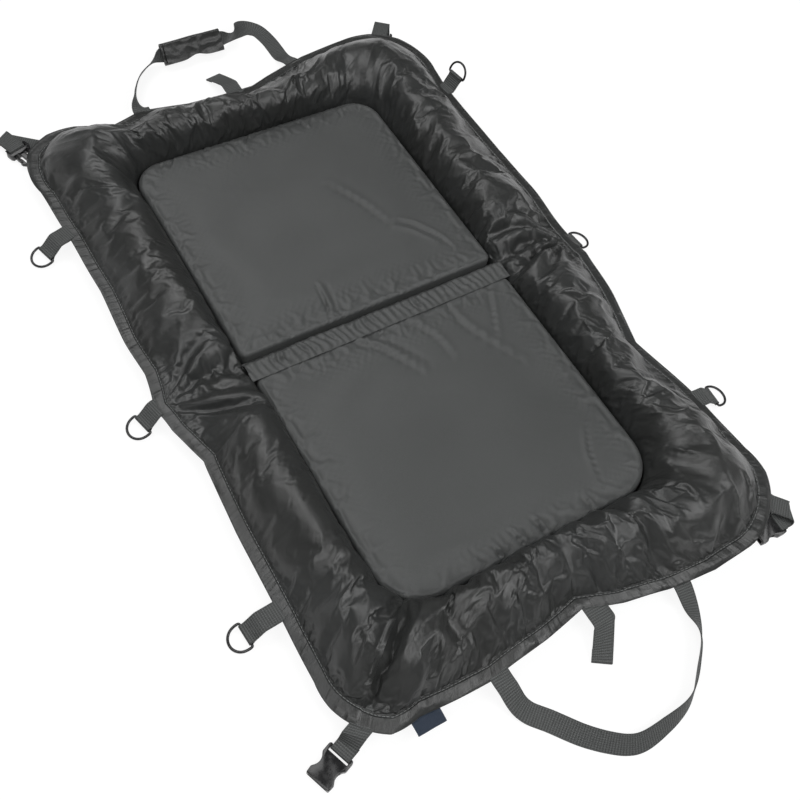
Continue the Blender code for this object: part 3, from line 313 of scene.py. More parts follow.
# %% Bed polyester and underside cloth
def polyester(name, tone, roughness):
    finish = Finish(name, Specular_IOR_Level=0.50, Sheen_Weight=0.06, Sheen_Roughness=0.5)
    where = finish.place(turn=math.radians(1.5))
    cloudy = finish.noise(where, 7.0, 3.0, 0.5)
    speckle = finish.noise(where, 1300.0, 2.0, 0.7)
    color = finish.mix(finish.span(cloudy, 0.3, 0.7), grey(tone * 0.93), grey(tone * 1.06))
    color = finish.mix(finish.span(speckle, 0.35, 0.75) * 0.55, color, grey(tone * 1.5))
    wavy = finish.noise(where, 26.0, 5.0, 0.55, 0.4)
    normal = finish.bump(wavy, 0.12, 0.004)
    normal = finish.bump(weave(finish, where, POLYESTER_PITCH), 0.35, 0.00014, normal)
    sheen = finish.span(cloudy, 0.2, 0.8, roughness - 0.04, roughness + 0.05)
    return finish.surface(Base_Color=color, Roughness=sheen, Normal=normal)


bed_polyester = polyester("bed_polyester", 0.057, 0.45)
underside_cloth = polyester("underside_cloth", 0.028, 0.66)

# %% [markdown]
# ## Webbing, tapes and label
# Webbing is woven with thick cross ribs. Its pattern has to follow the strap round every bend, so
# it reads the strap's own UV map, which is in metres along and across.


# %% Woven tapes
WEB_WIDTH = 0.025
TAPE_EDGE = 0.0022
TAPE_EDGE_END = 0.0012


def ribbed_tape(name, tone, pitch, width, edge_tone, roughness):
    finish = Finish(name, Specular_IOR_Level=0.35)
    along, over, _ = finish.axes(finish.place(uv=True))
    rib = (along * (2 * math.pi / pitch)).of("SINE")
    thread = (over * (2 * math.pi / (pitch * 0.8)) + rib * 0.8).of("SINE")
    fuzz = finish.noise(finish.place(), 1500.0, 2.0, 0.7)
    height = rib * 0.6 + thread * 0.35
    # the colour follows the weave's height: darker in the dips between the ribs, which is painted shade,
    # and lighter on the rib tops, a painted highlight; the threads across add the yarn's own two tones
    color = finish.mix(finish.span(height, -0.9, 0.9), grey(tone * 0.52), grey(tone * 1.18))
    color = finish.mix(finish.span(fuzz, 0.4, 0.8) * 0.3, color, grey(tone * 1.6))
    from_middle = (over - width / 2).of("ABSOLUTE")
    edge = finish.span(from_middle, width / 2 - TAPE_EDGE, width / 2 - TAPE_EDGE_END)
    color = finish.mix(edge * 0.6, color, grey(edge_tone))
    normal = finish.bump(height, 0.75, 0.00035)
    normal = finish.bump(fuzz, 0.2, 0.0002, normal)
    rough = finish.span(height, -1.0, 1.0, roughness + 0.08, roughness - 0.06)
    return finish.surface(Base_Color=color, Roughness=rough, Normal=normal)


webbing_weave = ribbed_tape("webbing_weave", 0.085, 0.0031, WEB_WIDTH, 0.060, 0.62)
hook_tape = ribbed_tape("hook_tape", 0.020, 0.0032, WEB_WIDTH, 0.030, 0.48)


def napped_tape(name, tone):
    finish = Finish(name, roughness=0.95, Sheen_Weight=0.25)
    where = finish.place()
    loops = finish.noise(where, 700.0, 4.0, 0.75, 0.5)
    matted = finish.noise(where, 90.0, 3.0, 0.6)
    # darker where the loops dip, which is painted shade, and lighter on the loop tops, a painted
    # highlight
    wear_and_shade_tone, loop_top_light = grey(tone * 0.5, 0.05), grey(tone * 1.25, 0.05)
    color = finish.mix(finish.span(loops, 0.35, 0.7), wear_and_shade_tone, loop_top_light)
    color = finish.mix(matted * 0.35, color, grey(tone * 0.7))
    return finish.surface(Base_Color=color, Normal=finish.bump(loops, 0.8, 0.0006))


loop_tape = napped_tape("loop_tape", 0.050)


TWILL_PITCH = 0.0009
LABEL_DARK, LABEL_LIGHT = (0.010, 0.019, 0.036, 1), (0.020, 0.034, 0.060, 1)


def label_weave():
    finish = Finish("label_weave", Specular_IOR_Level=0.4, Sheen_Weight=0.1)
    where = finish.place(turn=math.radians(14))
    x, y, _ = finish.axes(where)
    twill = ((x + y) * (2 * math.pi / TWILL_PITCH)).of("SINE")
    color = finish.mix(finish.span(twill, -1.0, 1.0), LABEL_DARK, LABEL_LIGHT)
    rough = finish.span(twill, -1.0, 1.0, 0.62, 0.5)
    return finish.surface(Base_Color=color, Roughness=rough, Normal=finish.bump(twill, 0.4, 0.00015))


label_cloth = label_weave()


# %% Moulded plastic
def moulded(name, tone, roughness):
    finish = Finish(name, Specular_IOR_Level=0.55)
    where = finish.place()
    wear = finish.noise(where, 140.0, 5.0, 0.6)
    grain = finish.noise(where, 2600.0, 1.0, 0.5)
    smooth, wear_and_shade_tone = (tone, tone, tone * 1.06, 1), (tone * 1.9, tone * 1.9, tone * 2, 1)
    color = finish.mix(finish.span(wear, 0.45, 0.8), smooth, wear_and_shade_tone)
    rough = finish.span(wear, 0.3, 0.8, roughness - 0.05, roughness + 0.12)
    return finish.surface(Base_Color=color, Roughness=rough, Normal=finish.bump(grain, 0.12, 0.00008))


ring_plastic = moulded("ring_plastic", 0.011, 0.27)
buckle_plastic = moulded("buckle_plastic", 0.010, 0.24)


# %% Floor finish
FLOOR_TONE = 0.80
FLOOR_GLOW = 1.12
FLOOR_GLOW_SHARE = 0.78


def pale_floor():
    """Pale card that keeps the mat's shadow and is nearly white to the camera and in mirrors."""
    finish = Finish("pale_floor", roughness=0.9, Specular_IOR_Level=0.0)
    finish.shader.inputs["Base Color"].default_value = (FLOOR_TONE, FLOOR_TONE, FLOOR_TONE, 1)
    paths = finish.tree.nodes.new("ShaderNodeLightPath")
    by_camera, by_mirror = (Wire(finish, paths.outputs[f"Is {ray} Ray"]) for ray in ("Camera", "Glossy"))
    glow = finish.node("ShaderNodeEmission", inputs={"Color": WHITE, "Strength": FLOOR_GLOW})
    share = (by_camera + by_mirror).of("MINIMUM", 1.0) * FLOOR_GLOW_SHARE
    card = Wire(finish, finish.shader.outputs[0])
    both = finish.node("ShaderNodeMixShader", inputs={0: share, 1: card, 2: glow})
    output = next(n for n in finish.tree.nodes if n.type == "OUTPUT_MATERIAL")
    finish.tree.links.new(both.socket, output.inputs["Surface"])
    return finish.material


floor.data.materials.append(pale_floor())


def wear(obj, material, slot):
    """Gives a piece its finish. Its slot argument is not used."""
    obj.data.materials.clear()
    obj.data.materials.append(material)


# %% [markdown]
# ## The rim
# All the cloth follows one line round the mat. A station counts along it in four quarters, each
# 0-1 down a side, 1-2 round a corner and 2-3 along an end; "across" goes from 0 at the foot of the
# bolster beside the bed to 1 at the stitched seam; "hem" is the distance past that seam. A sewn and
# stuffed edge is never straight, so a table says how far it bows out or in at each station.

# %% Sizes of the cloth
PAD_HALF_WIDTH = 0.194
PAD_END = 0.3745
FOLD_HALF = 0.0173
FOOT_GAP = 0.0020
SIDE_WALL = 0.107
END_WALL = 0.089
HEM = 0.022
CORNER_OUTER = 0.086
CORNER_FAR = 0.042
CORNER_NEAR = 0.060
WALL_CREST = 0.080
SOFT_BOTTOM = 0.0023
FOOT_HEIGHT = 0.016
SEAM_HEIGHT = 0.0243
HEM_BOTTOM = 0.0193
CINCH_RUN = 0.095
FOLD_DRAW_IN = 0.008
MM = 0.001

# %% How far the rim bows
RIPPLE = 2.2
RIPPLES_PER_METRE = 13
BOWED = {
    # side and end: rows of station and how far out the rim bows there, in mm
    (1, 1): ((0, 8), (0.13, 6), (0.5, 1), (0.9, 3), (1, 7), (1.25, 16), (1.5, 27), (1.75, 28),
             (2, 21), (2.35, 11), (2.67, -8), (2.8, -18), (3, -19)),
    (-1, 1): ((0, 3), (0.13, -9), (0.5, -16), (0.77, -14), (1, -9), (1.25, 0), (1.5, 12),
              (1.75, 12), (2, 3), (2.22, -16), (2.43, -3), (2.74, -17), (3, -19)),
    (-1, -1): ((0, 3), (0.1, -4), (0.24, -25), (0.5, -20), (0.77, -18), (1, -16), (1.25, -11),
               (1.5, -8), (1.75, -3), (2, -11), (2.4, -5), (2.75, -14), (3, -24)),
    (1, -1): ((0, 8), (0.08, 12), (0.2, 0), (0.49, -28), (0.77, -8), (1, -2), (1.25, 7),
              (1.5, 9), (2, 11), (2.23, 15), (2.52, 8), (2.78, -6), (3, -24)),
}


def ease(share):
    """0 to 1 with level ends, for numbers and arrays."""
    share = np.clip(share, 0.0, 1.0)
    return share * share * (3 - 2 * share)


def fold_fade(y):
    """1 at the fold line, falling to 0 at the end of the drawn-in stretch."""
    return 1 - ease((np.abs(y) - FOLD_HALF) / CINCH_RUN)


# %% A point of the rim
def rim(station, side, end, across, hem=0.0):
    """A point of the rim in plan. side is -1 or 1 for left or right, end -1 or 1 for near or far."""
    width = PAD_HALF_WIDTH + FOOT_GAP + across * SIDE_WALL + hem
    length = PAD_END + FOOT_GAP + across * END_WALL + hem
    corner = CORNER_FAR if end > 0 else CORNER_NEAR
    radius = corner + across * (CORNER_OUTER - corner) + hem / 2
    turn = min(max(station - 1, 0.0), 1.0) * math.pi / 2
    x = width - radius + radius * math.cos(turn)
    y = length - radius + radius * math.sin(turn)
    if station < 1:
        y *= station
        x -= FOLD_DRAW_IN * across * fold_fade(y)
    elif station > 2:
        x = (width - radius) * (3 - station)
    places, bows = zip(*BOWED[side, end])
    waves = RIPPLES_PER_METRE * side, RIPPLES_PER_METRE * end
    ripple = RIPPLE * noise.noise(Vector((x * waves[0], y * waves[1], 3.7)))
    out = (np.interp(station, places, bows) + ripple) * MM * across**1.5
    return side * (x + out * math.cos(turn)), end * (y + out * math.sin(turn))


# %% Panels of cloth between the mitres
SIDE_STEPS, CORNER_STEPS, END_STEPS = 104, 36, 66
QUARTER = (
    [i / SIDE_STEPS for i in range(SIDE_STEPS)]
    + [1 + i / CORNER_STEPS for i in range(CORNER_STEPS)]
    + [2 + i / END_STEPS for i in range(END_STEPS + 1)]
)


def run(side, end, first, last):
    """The stations of one quarter from first to last, as (station, side, end)."""
    low, high = sorted((first, last))
    chosen = [s for s in QUARTER if low <= s <= high]
    return [(s, side, end) for s in (chosen if first < last else chosen[::-1])]


MITRE = 1.5
PANELS = {
    "near_bolster": run(-1, -1, MITRE, 3) + run(1, -1, 3, MITRE)[1:],
    "right_bolster": run(1, -1, MITRE, 0) + run(1, 1, 0, MITRE)[1:],
    "far_bolster": run(1, 1, MITRE, 3) + run(-1, 1, 3, MITRE)[1:],
    "left_bolster": run(-1, 1, MITRE, 0) + run(-1, -1, 0, MITRE)[1:],
}
for name, panel in PANELS.items():
    print(name, "has", len(panel), "rows of cloth")


# %% Grid helpers
def pick(*objects):
    """Makes these the only selected objects and the first of them the active one."""
    bpy.ops.object.select_all(action="DESELECT")
    for obj in objects:
        obj.select_set(True)
    bpy.context.view_layer.objects.active = objects[0]


def finer(points, axis=0):
    """Puts a point between each two along an axis, on a smooth curve through all of them."""
    points = np.moveaxis(np.asarray(points, float), axis, 0)
    before, after = points[:1], points[1:]
    if len(points) > 2:
        before = np.concatenate((2 * points[:1] - points[1:2], points[:-2]))
        after = np.concatenate((points[2:], 2 * points[-1:] - points[-2:-1]))
    middle = (9 * (points[:-1] + points[1:]) - before - after) / 16
    out = np.empty((2 * len(points) - 1, *points.shape[1:]))
    out[::2], out[1::2] = points, middle
    return np.moveaxis(out, 0, axis)


def cloth_grid(name, points):
    """A sheet through rows of points, with its UV map in metres along and across."""
    points = np.asarray(points, float)
    rows, columns = points.shape[:2]
    bpy.ops.object.select_all(action="DESELECT")
    bpy.ops.mesh.primitive_grid_add(x_subdivisions=rows - 1, y_subdivisions=columns - 1, size=1.0)
    sheet = bpy.context.object
    sheet.name = name
    flat = coordinates(sheet)
    i = np.rint((flat[:, 0] + 0.5) * (rows - 1)).astype(int)
    j = np.rint((flat[:, 1] + 0.5) * (columns - 1)).astype(int)
    set_coordinates(sheet, points[i, j])
    along = np.linalg.norm(np.diff(points, axis=0), axis=2).mean(axis=1)
    over = np.linalg.norm(np.diff(points, axis=1), axis=2).mean(axis=0)
    u, v = np.concatenate(([0], np.cumsum(along))), np.concatenate(([0], np.cumsum(over)))
    corners = np.empty(len(sheet.data.loops), int)
    sheet.data.loops.foreach_get("vertex_index", corners)
    uv = np.stack((u[i[corners]], v[j[corners]]), axis=1)
    sheet.data.uv_layers[0].data.foreach_set("uv", uv.ravel())
    return sheet, i, j


def coordinates(obj):
    flat = np.empty(len(obj.data.vertices) * 3)
    obj.data.vertices.foreach_get("co", flat)
    return flat.reshape(-1, 3)


def set_coordinates(obj, points):
    obj.data.vertices.foreach_set("co", np.asarray(points, float).ravel())
    obj.data.update()


def edit(obj, *steps):
    """Runs edit mode operators on all of the mesh, each given as (operator, settings)."""
    pick(obj)
    bpy.ops.object.mode_set(mode="EDIT")
    bpy.ops.mesh.select_all(action="SELECT")
    for operator, settings in steps:
        operator(**settings)
    bpy.ops.object.mode_set(mode="OBJECT")


def apply_modifier(obj, kind, **settings):
    modifier = obj.modifiers.new(kind.lower(), kind)
    for key, value in settings.items():
        setattr(modifier, key, value)
    pick(obj)
    bpy.ops.object.modifier_apply(modifier=modifier.name)


def smooth_shade(obj, degrees):
    pick(obj)
    bpy.ops.object.shade_smooth_by_angle(angle=math.radians(degrees))


def make_up(sheet, thickness, degrees, material, slot, offset=0.0):
    """Gives a sheet its thickness, its shading and its finish."""
    apply_modifier(sheet, "SOLIDIFY", thickness=thickness, offset=offset)
    smooth_shade(sheet, degrees)
    wear(sheet, material, slot)


def placed(points, place):
    """Points turned and moved by a matrix."""
    turn, shift = np.array(place.to_3x3()), np.array(place.translation)
    return np.asarray(points, float) @ turn.T + shift


# %% [markdown]
# ## Cloth by simulation
# Real bolsters are flat cloth panels, cut longer than their seams, gathered and stuffed. So the
# start shape is a slightly thin bolster whose cloth is declared too large (a negative shrink), its
# seams are pinned, and air pressure fills it. The spare cloth then buckles by itself into the
# creases that no amount of careful displacement would give. A few frames are enough: more would
# smooth the creases out again.


# %% Cloth simulation
GROWTH = 0.12
CREST_SHARPNESS = 3.2


def weigh(obj, name, weights):
    group = obj.vertex_groups.new(name=name)
    weights = np.round(weights, 2)
    for weight in np.unique(weights):
        if weight > 0:
            group.add(np.nonzero(weights == weight)[0].tolist(), float(weight), "REPLACE")


def simulate(obj, pins, spare, pressure, frames, bending):
    """Fills a pinned sheet with air. pins and spare hold a number from 0 to 1 for each vertex."""
    weigh(obj, "pins", pins)
    weigh(obj, "taut", 1 - spare)
    cloth = obj.modifiers.new("cloth", "CLOTH")
    settings = cloth.settings
    settings.quality = 5
    settings.mass = 0.2
    settings.tension_stiffness = settings.compression_stiffness = 18
    settings.shear_stiffness = 6
    settings.bending_stiffness = bending
    settings.tension_damping = settings.compression_damping = settings.shear_damping = 1
    settings.bending_damping = 0.1
    settings.air_damping = 1
    settings.vertex_group_mass = "pins"
    settings.pin_stiffness = 2
    settings.vertex_group_shrink = "taut"
    settings.shrink_min = -GROWTH
    settings.shrink_max = 0.0
    settings.use_pressure = True
    settings.uniform_pressure_force = pressure
    settings.effector_weights.gravity = 0
    cloth.collision_settings.use_collision = False
    cloth.point_cache.frame_start = 1
    cloth.point_cache.frame_end = frames
    for step in range(1, frames + 1):
        bpy.context.scene.frame_set(step)
    pick(obj)
    bpy.ops.object.modifier_apply(modifier=cloth.name)
    bpy.context.scene.frame_set(1)


def ridges(along, over, seed):
    """Noise with sharp crests, as folded cloth has: 1 on a crest and below 0 in the dips."""
    return 1 - CREST_SHARPNESS * abs(noise.noise(Vector((along, over, seed))))


# %% [markdown]
# ## The bolsters
# The four bolsters are sewn to each other at mitres, so one sheet goes all the way round and starts
# and ends at the near left mitre, the one whose seam stands proud. It is blown up whole, then cut
# at the mitres into the four pieces. How much spare cloth there is differs: the left side is taut,
# the near end is full of it, and at the fold it is drawn together into a fan of pleats.

# %% Start shape of the bolsters
HEM_CELLS = 4
WALL_CELLS = 44
FAN_PLEATS = 7
FAN_DEPTH = 0.0060
NECK_DEPTH = 0.026
NECK_LINE = 0.014
NECK_RUN = 0.016
START_BELOW_CREST = 0.010
HEM_ROLL = 0.0030
CREST_PLACE = 0.42
SEAM_OUT = 0.006
MITRE_DIPS = (0.000, 0.009, 0.009, 0.006, 0.003, 0.001)


def wall_arch(share):
    """Height of the upper cloth from 0 to 1: steep beside the bed, sloping down to the seam."""
    if share < CREST_PLACE:
        return max(0.0, 1 - (1 - share / CREST_PLACE) ** 2.3) ** 0.5
    return max(0.0, 1 - ((share - CREST_PLACE) / (1 - CREST_PLACE)) ** 2.1) ** 1.05


def wall_point(station, side, end, share):
    """A point of the bolster's upper cloth; share is 0 at the bed's foot and 1 at the seam."""
    x, y = rim(station, side, end, share, SEAM_OUT * share**3)
    fade = fold_fade(y)
    crest = WALL_CREST - START_BELOW_CREST - NECK_DEPTH * fade
    crest -= NECK_LINE * math.exp(-((y / NECK_RUN) ** 2))
    foot = FOOT_HEIGHT + (SEAM_HEIGHT - FOOT_HEIGHT) * share * share
    arch = wall_arch(share)
    away = math.atan2(y, PAD_HALF_WIDTH + SIDE_WALL + 0.012 - abs(x))
    away += 0.35 * noise.noise(Vector((x * 9, y * 9, 2.2)))
    fan = math.cos(FAN_PLEATS * 2 * away) * FAN_DEPTH * fade * min(arch, 1)
    return x, y, foot + (crest - foot) * arch + fan


def bolster_row(station, side, end):
    """One row of cloth from the hem's edge over the seam and the crest to the bed's foot."""
    row = []
    for k in range(HEM_CELLS):
        x, y = rim(station, side, end, 1.0, HEM + (SEAM_OUT - HEM) * k / HEM_CELLS)
        row.append((x, y, SEAM_HEIGHT - HEM_ROLL * (1 - k / HEM_CELLS) ** 1.5))
    for k in range(WALL_CELLS + 1):
        row.append(wall_point(station, side, end, (1 + math.cos(math.pi * k / WALL_CELLS)) / 2))
    return row


loop = [place for panel in PANELS.values() for place in panel[:-1]] + [PANELS["near_bolster"][0]]
start_rows = np.array([bolster_row(*place) for place in loop])
# at the mitre where the sheet starts and ends, the cloth dips on both sides of a proud seam
arch = np.sin(np.linspace(0, math.pi, WALL_CELLS + 1)) ** 0.5
for k, dip in enumerate(MITRE_DIPS):
    for row in {k, len(loop) - 1 - k}:
        start_rows[row, HEM_CELLS:, 2] -= dip * arch
start_rows[-1] = start_rows[0]
bolster_cloth, row_of, column_of = cloth_grid("bolster_cloth", start_rows)
print("bolster cloth grid:", start_rows.shape[:2])

# %% How loose the cloth is
# how much spare cloth, then the height in mm of folds across, small facets, broad dents and gathers
LOOSENESS = {
    "near_bolster": (0.50, 5.6, 3.3, 6.0, 1.8),
    "right_bolster": (0.26, 2.4, 1.7, 4.8, 0.9),
    "far_bolster": (0.36, 3.4, 2.1, 5.0, 1.6),
    "left_bolster": (0.08, 0.8, 0.4, 4.5, 0.3),
}
CORNER_EXTRAS = (
    # side, end, where along the mat it starts, what it adds to the five numbers
    (1, -1, 0.18, (0.20, 1.8, 1.0, 1.0, 0.6)),
    (-1, 1, 0.22, (0.14, 1.8, 1.0, 0.8, 0.4)),
    (-1, -1, 0.20, (0.16, 2.4, 1.8, 0.8, 0.4)),
)
EXTRA_FROM_MIDDLE = 0.05
EXTRA_RUN = 0.1
FOLD_EXTRA = (0.30, 0.3, 0.4, -1.5, 0.5)
BLEND_ROWS = 30
by_row = [LOOSENESS[name] for name, panel in PANELS.items() for _ in panel[:-1]]
by_row = np.array(by_row + [LOOSENESS["near_bolster"]])
window = np.hanning(2 * BLEND_ROWS + 1) / np.hanning(2 * BLEND_ROWS + 1).sum()
smoothed = [np.convolve(np.pad(column, BLEND_ROWS, "wrap"), window, "valid") for column in by_row.T]
by_row = np.stack(smoothed, axis=1)
foot_x, foot_y = start_rows[:, -1, 0], start_rows[:, -1, 1]
for side, end, start, extra in CORNER_EXTRAS:
    beside = ease((side * foot_x - EXTRA_FROM_MIDDLE) / EXTRA_RUN)
    by_row += np.outer(beside * ease((end * foot_y - start) / EXTRA_RUN), extra)
by_row += np.outer(fold_fade(foot_y), FOLD_EXTRA)
spare_by_row = np.clip(by_row[:, 0], 0, 1)
crest_line = start_rows[:, HEM_CELLS + WALL_CELLS // 2]
arc = np.concatenate(([0], np.cumsum(np.linalg.norm(np.diff(crest_line, axis=0), axis=1))))
print("spare cloth from", round(spare_by_row.min(), 2), "to", round(spare_by_row.max(), 2))

# %% [markdown]
# Air alone would blow up every stretch in the same way, so the cloth is creased a little first:
# long folds across the bolster, small facets, broad dents, and gathers along both seams. The
# creases deepen where the spare cloth has to go.

# %% Creases before the air goes in
# waves per metre along and across the bolster, and a seed
ACROSS_FOLDS = (16, 7, 1.3)
SMALL_FACETS = (29, 25, 7.7)
BROAD_DENTS = (8, 12, 4.1)
SEAM_GATHERS = (62, 7, 9.1)
WANDERING = (22, 22, 0.5)
NECK_CREASES = (9, 52, 5.5)
WANDER = 0.016
GATHER_RUN = 0.020
NECK_CREASE_DEPTH = 2.4
NECK_CREASE_RUN = 0.026
HEM_CELL_WIDTH = 0.006
HEM_HOLD = 0.30


def at(pattern, along, over):
    """Where a pattern is read for a place on the cloth."""
    return along * pattern[0], over * pattern[1], pattern[2]


folds = np.zeros(start_rows.shape[:2])
for row in range(len(loop)):
    for column in range(1, HEM_CELLS + WALL_CELLS - 1):
        share = (1 + math.cos(math.pi * max(column - HEM_CELLS, 0) / WALL_CELLS)) / 2
        on_hem = max(HEM_CELLS - column, 0)
        a, v = arc[row], share * SIDE_WALL + HEM_CELL_WIDTH * on_hem
        a += WANDER * noise.noise(Vector(at(WANDERING, a, v)))
        _, across, facets, dents, gathers = by_row[row]
        height = across * ridges(*at(ACROSS_FOLDS, a, v)) + facets * ridges(*at(SMALL_FACETS, a, v))
        height += dents * noise.noise(Vector(at(BROAD_DENTS, a, v)))
        from_seam = math.exp(-v / GATHER_RUN) + math.exp(-abs(SIDE_WALL - v) / GATHER_RUN)
        height += gathers * from_seam * ridges(*at(SEAM_GATHERS, a, v))
        over_neck = math.exp(-((start_rows[row, column, 1] / NECK_CREASE_RUN) ** 2))
        neck_along, neck_over, seed = at(NECK_CREASES, a, v)
        height += NECK_CREASE_DEPTH * ridges(neck_over, neck_along, seed) * over_neck
        hold = min(1.0, 0.35 + 1.6 * math.sin(math.pi * share) ** 0.7)
        hold = HEM_HOLD if column <= HEM_CELLS else hold
        folds[row, column] = height * hold * MM
print("highest crease, mm:", round(folds.max() / MM, 1))

# %% Blow up the bolsters
last_row, last_column = len(loop) - 1, HEM_CELLS + WALL_CELLS
at_seam = (column_of <= HEM_CELLS) | (column_of >= last_column - 1)
at_mitre = (row_of == 0) | (row_of == last_row)
at_neck = np.abs(start_rows[row_of, -1, 1]) < 0.0001
pins = np.where(at_seam | at_mitre | at_neck, 1.0, 0.0)
folds[0] = folds[-1] = 0
start_rows[..., 2] += folds
set_coordinates(bolster_cloth, start_rows[row_of, column_of])
simulate(bolster_cloth, pins, spare_by_row[row_of], pressure=3.0, frames=12, bending=0.6)
blown = np.empty_like(start_rows)
blown[row_of, column_of] = coordinates(bolster_cloth)
print("crest after blowing up, mm:", round(1000 * blown[..., 2].max(), 1))
bpy.data.objects.remove(bolster_cloth)

# %% [markdown]
# Folded shut, the two halves meet crest on crest in the plane of the fold's axis. The plumpest
# stretches are therefore let down to just under it, above a height where their sides are steep.

# %% Let down the plumpest stretches
CREST_LIMIT = 0.0795
LET_DOWN_FROM = 0.030
LET_DOWN_ROWS = 8
rows_around = 2 * LET_DOWN_ROWS + 1
over = blown[..., 2].max(axis=1) - LET_DOWN_FROM
share = np.pad(np.minimum(1, (CREST_LIMIT - LET_DOWN_FROM) / over), 2 * LET_DOWN_ROWS, "edge")
around = np.lib.stride_tricks.sliding_window_view(share, rows_around)
share = np.convolve(around.min(axis=1), np.full(rows_around, 1 / rows_around), "valid")
above = np.maximum(blown[..., 2] - LET_DOWN_FROM, 0)
blown[..., 2] -= above * (1 - share[:, None])
print("crest when let down, mm:", round(1000 * blown[..., 2].max(), 1))


# %% Close and finish each bolster
# the bolsters' underside rises a little over the fold, clear of the base cloth when it bends there
FOLD_LIFT = 0.0045
FOLD_REACH = 0.020
HEM_EDGE = 0.0010


def underside_row(station, side, end):
    """The underside of a bolster, from the bed's foot back to the hem's edge."""
    row = []
    for across, hem, height in (
        (0.0, 0, SOFT_BOTTOM),
        (0.45, 0, SOFT_BOTTOM),
        (0.84, 0, SOFT_BOTTOM),
        (1.0, 0, HEM_BOTTOM),
        (1.0, HEM, HEM_BOTTOM),
        (1.0, HEM + HEM_EDGE, (HEM_BOTTOM + SEAM_HEIGHT) / 2),
    ):
        x, y = rim(station, side, end, across, hem)
        if height == SOFT_BOTTOM:
            height += FOLD_LIFT * math.exp(-((y / FOLD_REACH) ** 2))
        row.append((x, y, height))
    return row


EDGE_TOLERANCE = 0.00002
bolsters, first = {}, 0
for name, panel in PANELS.items():
    top = finer(finer(blown[first : first + len(panel)]), axis=1)
    under = finer([underside_row(*place) for place in panel])
    first += len(panel) - 1
    bolster, _, _ = cloth_grid(name, np.concatenate((top, under, top[:, :1]), axis=1))
    edit(
        bolster,
        (bpy.ops.mesh.remove_doubles, {"threshold": EDGE_TOLERANCE}),
        (bpy.ops.mesh.select_all, {"action": "SELECT"}),
        (bpy.ops.mesh.fill_holes, {"sides": 0}),
    )
    smooth_shade(bolster, 50)
    wear(bolster, bolster_nylon, "wall_cloth")
    bolsters[name] = bolster
    print(name, "faces:", len(bolster.data.polygons))

for side in ("left", "right"):
    bolster = bolsters[side + "_bolster"]
    for half in ("near", "far"):
        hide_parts(f"{half}_{side}_wall", f"{half}_{side}_wall_filling", half + "_hem")
    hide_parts(side + "_fold_gather")
    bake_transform(bolster)
for half in ("near", "far"):
    bolster = bolsters[half + "_bolster"]
    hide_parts(half + "_end_wall", half + "_end_wall_filling", half + "_hem")
    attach(bolster, half + "_half")

# %% [markdown]
# ## The beds
# Each bed is a sheet of foam in a fitted cover. The cover is a grid whose square border is pushed
# onto a rectangle with round corners; its outermost cells turn over the edge and run down the side.
# It is blown up too, only a little and pinned softly in the middle, so the spare cloth puckers
# along the edges where it is sewn. A few long folds that the eye remembers are pressed in one by one.

# %% Shape of a bed
BED_CELLS = 92
BED_BORDER = 7
BED_ROLL = 0.006
BED_TOP = 0.0278
BED_CROWN = 0.0022
ROLL_SHARE = 0.62
FOLD_CORNER = 0.010
LEAST_CORNER = 0.002


def on_round_rectangle(u, v, half_width, half_length, low_corner, high_corner):
    """Puts a point of the unit square's border on a rectangle with round corners."""
    corner = low_corner if v < 0 else high_corner
    x, y = u * half_width, v * half_length
    dx, dy = abs(x) - (half_width - corner), abs(y) - (half_length - corner)
    if dx > 0 and dy > 0:
        size = math.hypot(dx, dy)
        x = math.copysign(half_width - corner + dx / size * corner, x)
        y = math.copysign(half_length - corner + dy / size * corner, y)
    return x, y


def bed_point(i, j, low_corner, high_corner, half_length):
    """A point of the cover's cloth, about the bed's middle."""
    cells = BED_CELLS / 2
    u, v = (i - cells) / (cells - BED_BORDER), (j - cells) / (cells - BED_BORDER)
    size = max(abs(u), abs(v), 1e-6)
    inner = min(size, 1.0)
    width, length = PAD_HALF_WIDTH - BED_ROLL, half_length - BED_ROLL
    low, high = (max(corner - BED_ROLL, LEAST_CORNER) for corner in (low_corner, high_corner))
    border = on_round_rectangle(u / size, v / size, width, length, low, high)
    plain = (u / size * width, v / size * length)
    corner_pull = inner**5
    x = inner * (plain[0] + (border[0] - plain[0]) * corner_pull)
    y = inner * (plain[1] + (border[1] - plain[1]) * corner_pull)
    z = BED_TOP + BED_CROWN * (1 - inner**4)
    if size > 1:
        past = (size - 1) * (cells - BED_BORDER) / BED_BORDER
        rolled = (value + BED_ROLL for value in (width, length, low, high))
        outer = on_round_rectangle(u / size, v / size, *rolled)
        turn = min(past / ROLL_SHARE, 1.0) * math.pi / 2
        x = border[0] + (outer[0] - border[0]) * math.sin(turn)
        y = border[1] + (outer[1] - border[1]) * math.sin(turn)
        low_side = BED_TOP - BED_ROLL
        drop = max(past - ROLL_SHARE, 0) / (1 - ROLL_SHARE)
        z = BED_TOP - BED_ROLL * (1 - math.cos(turn)) - (low_side - SOFT_BOTTOM) * drop
    return x, y, z


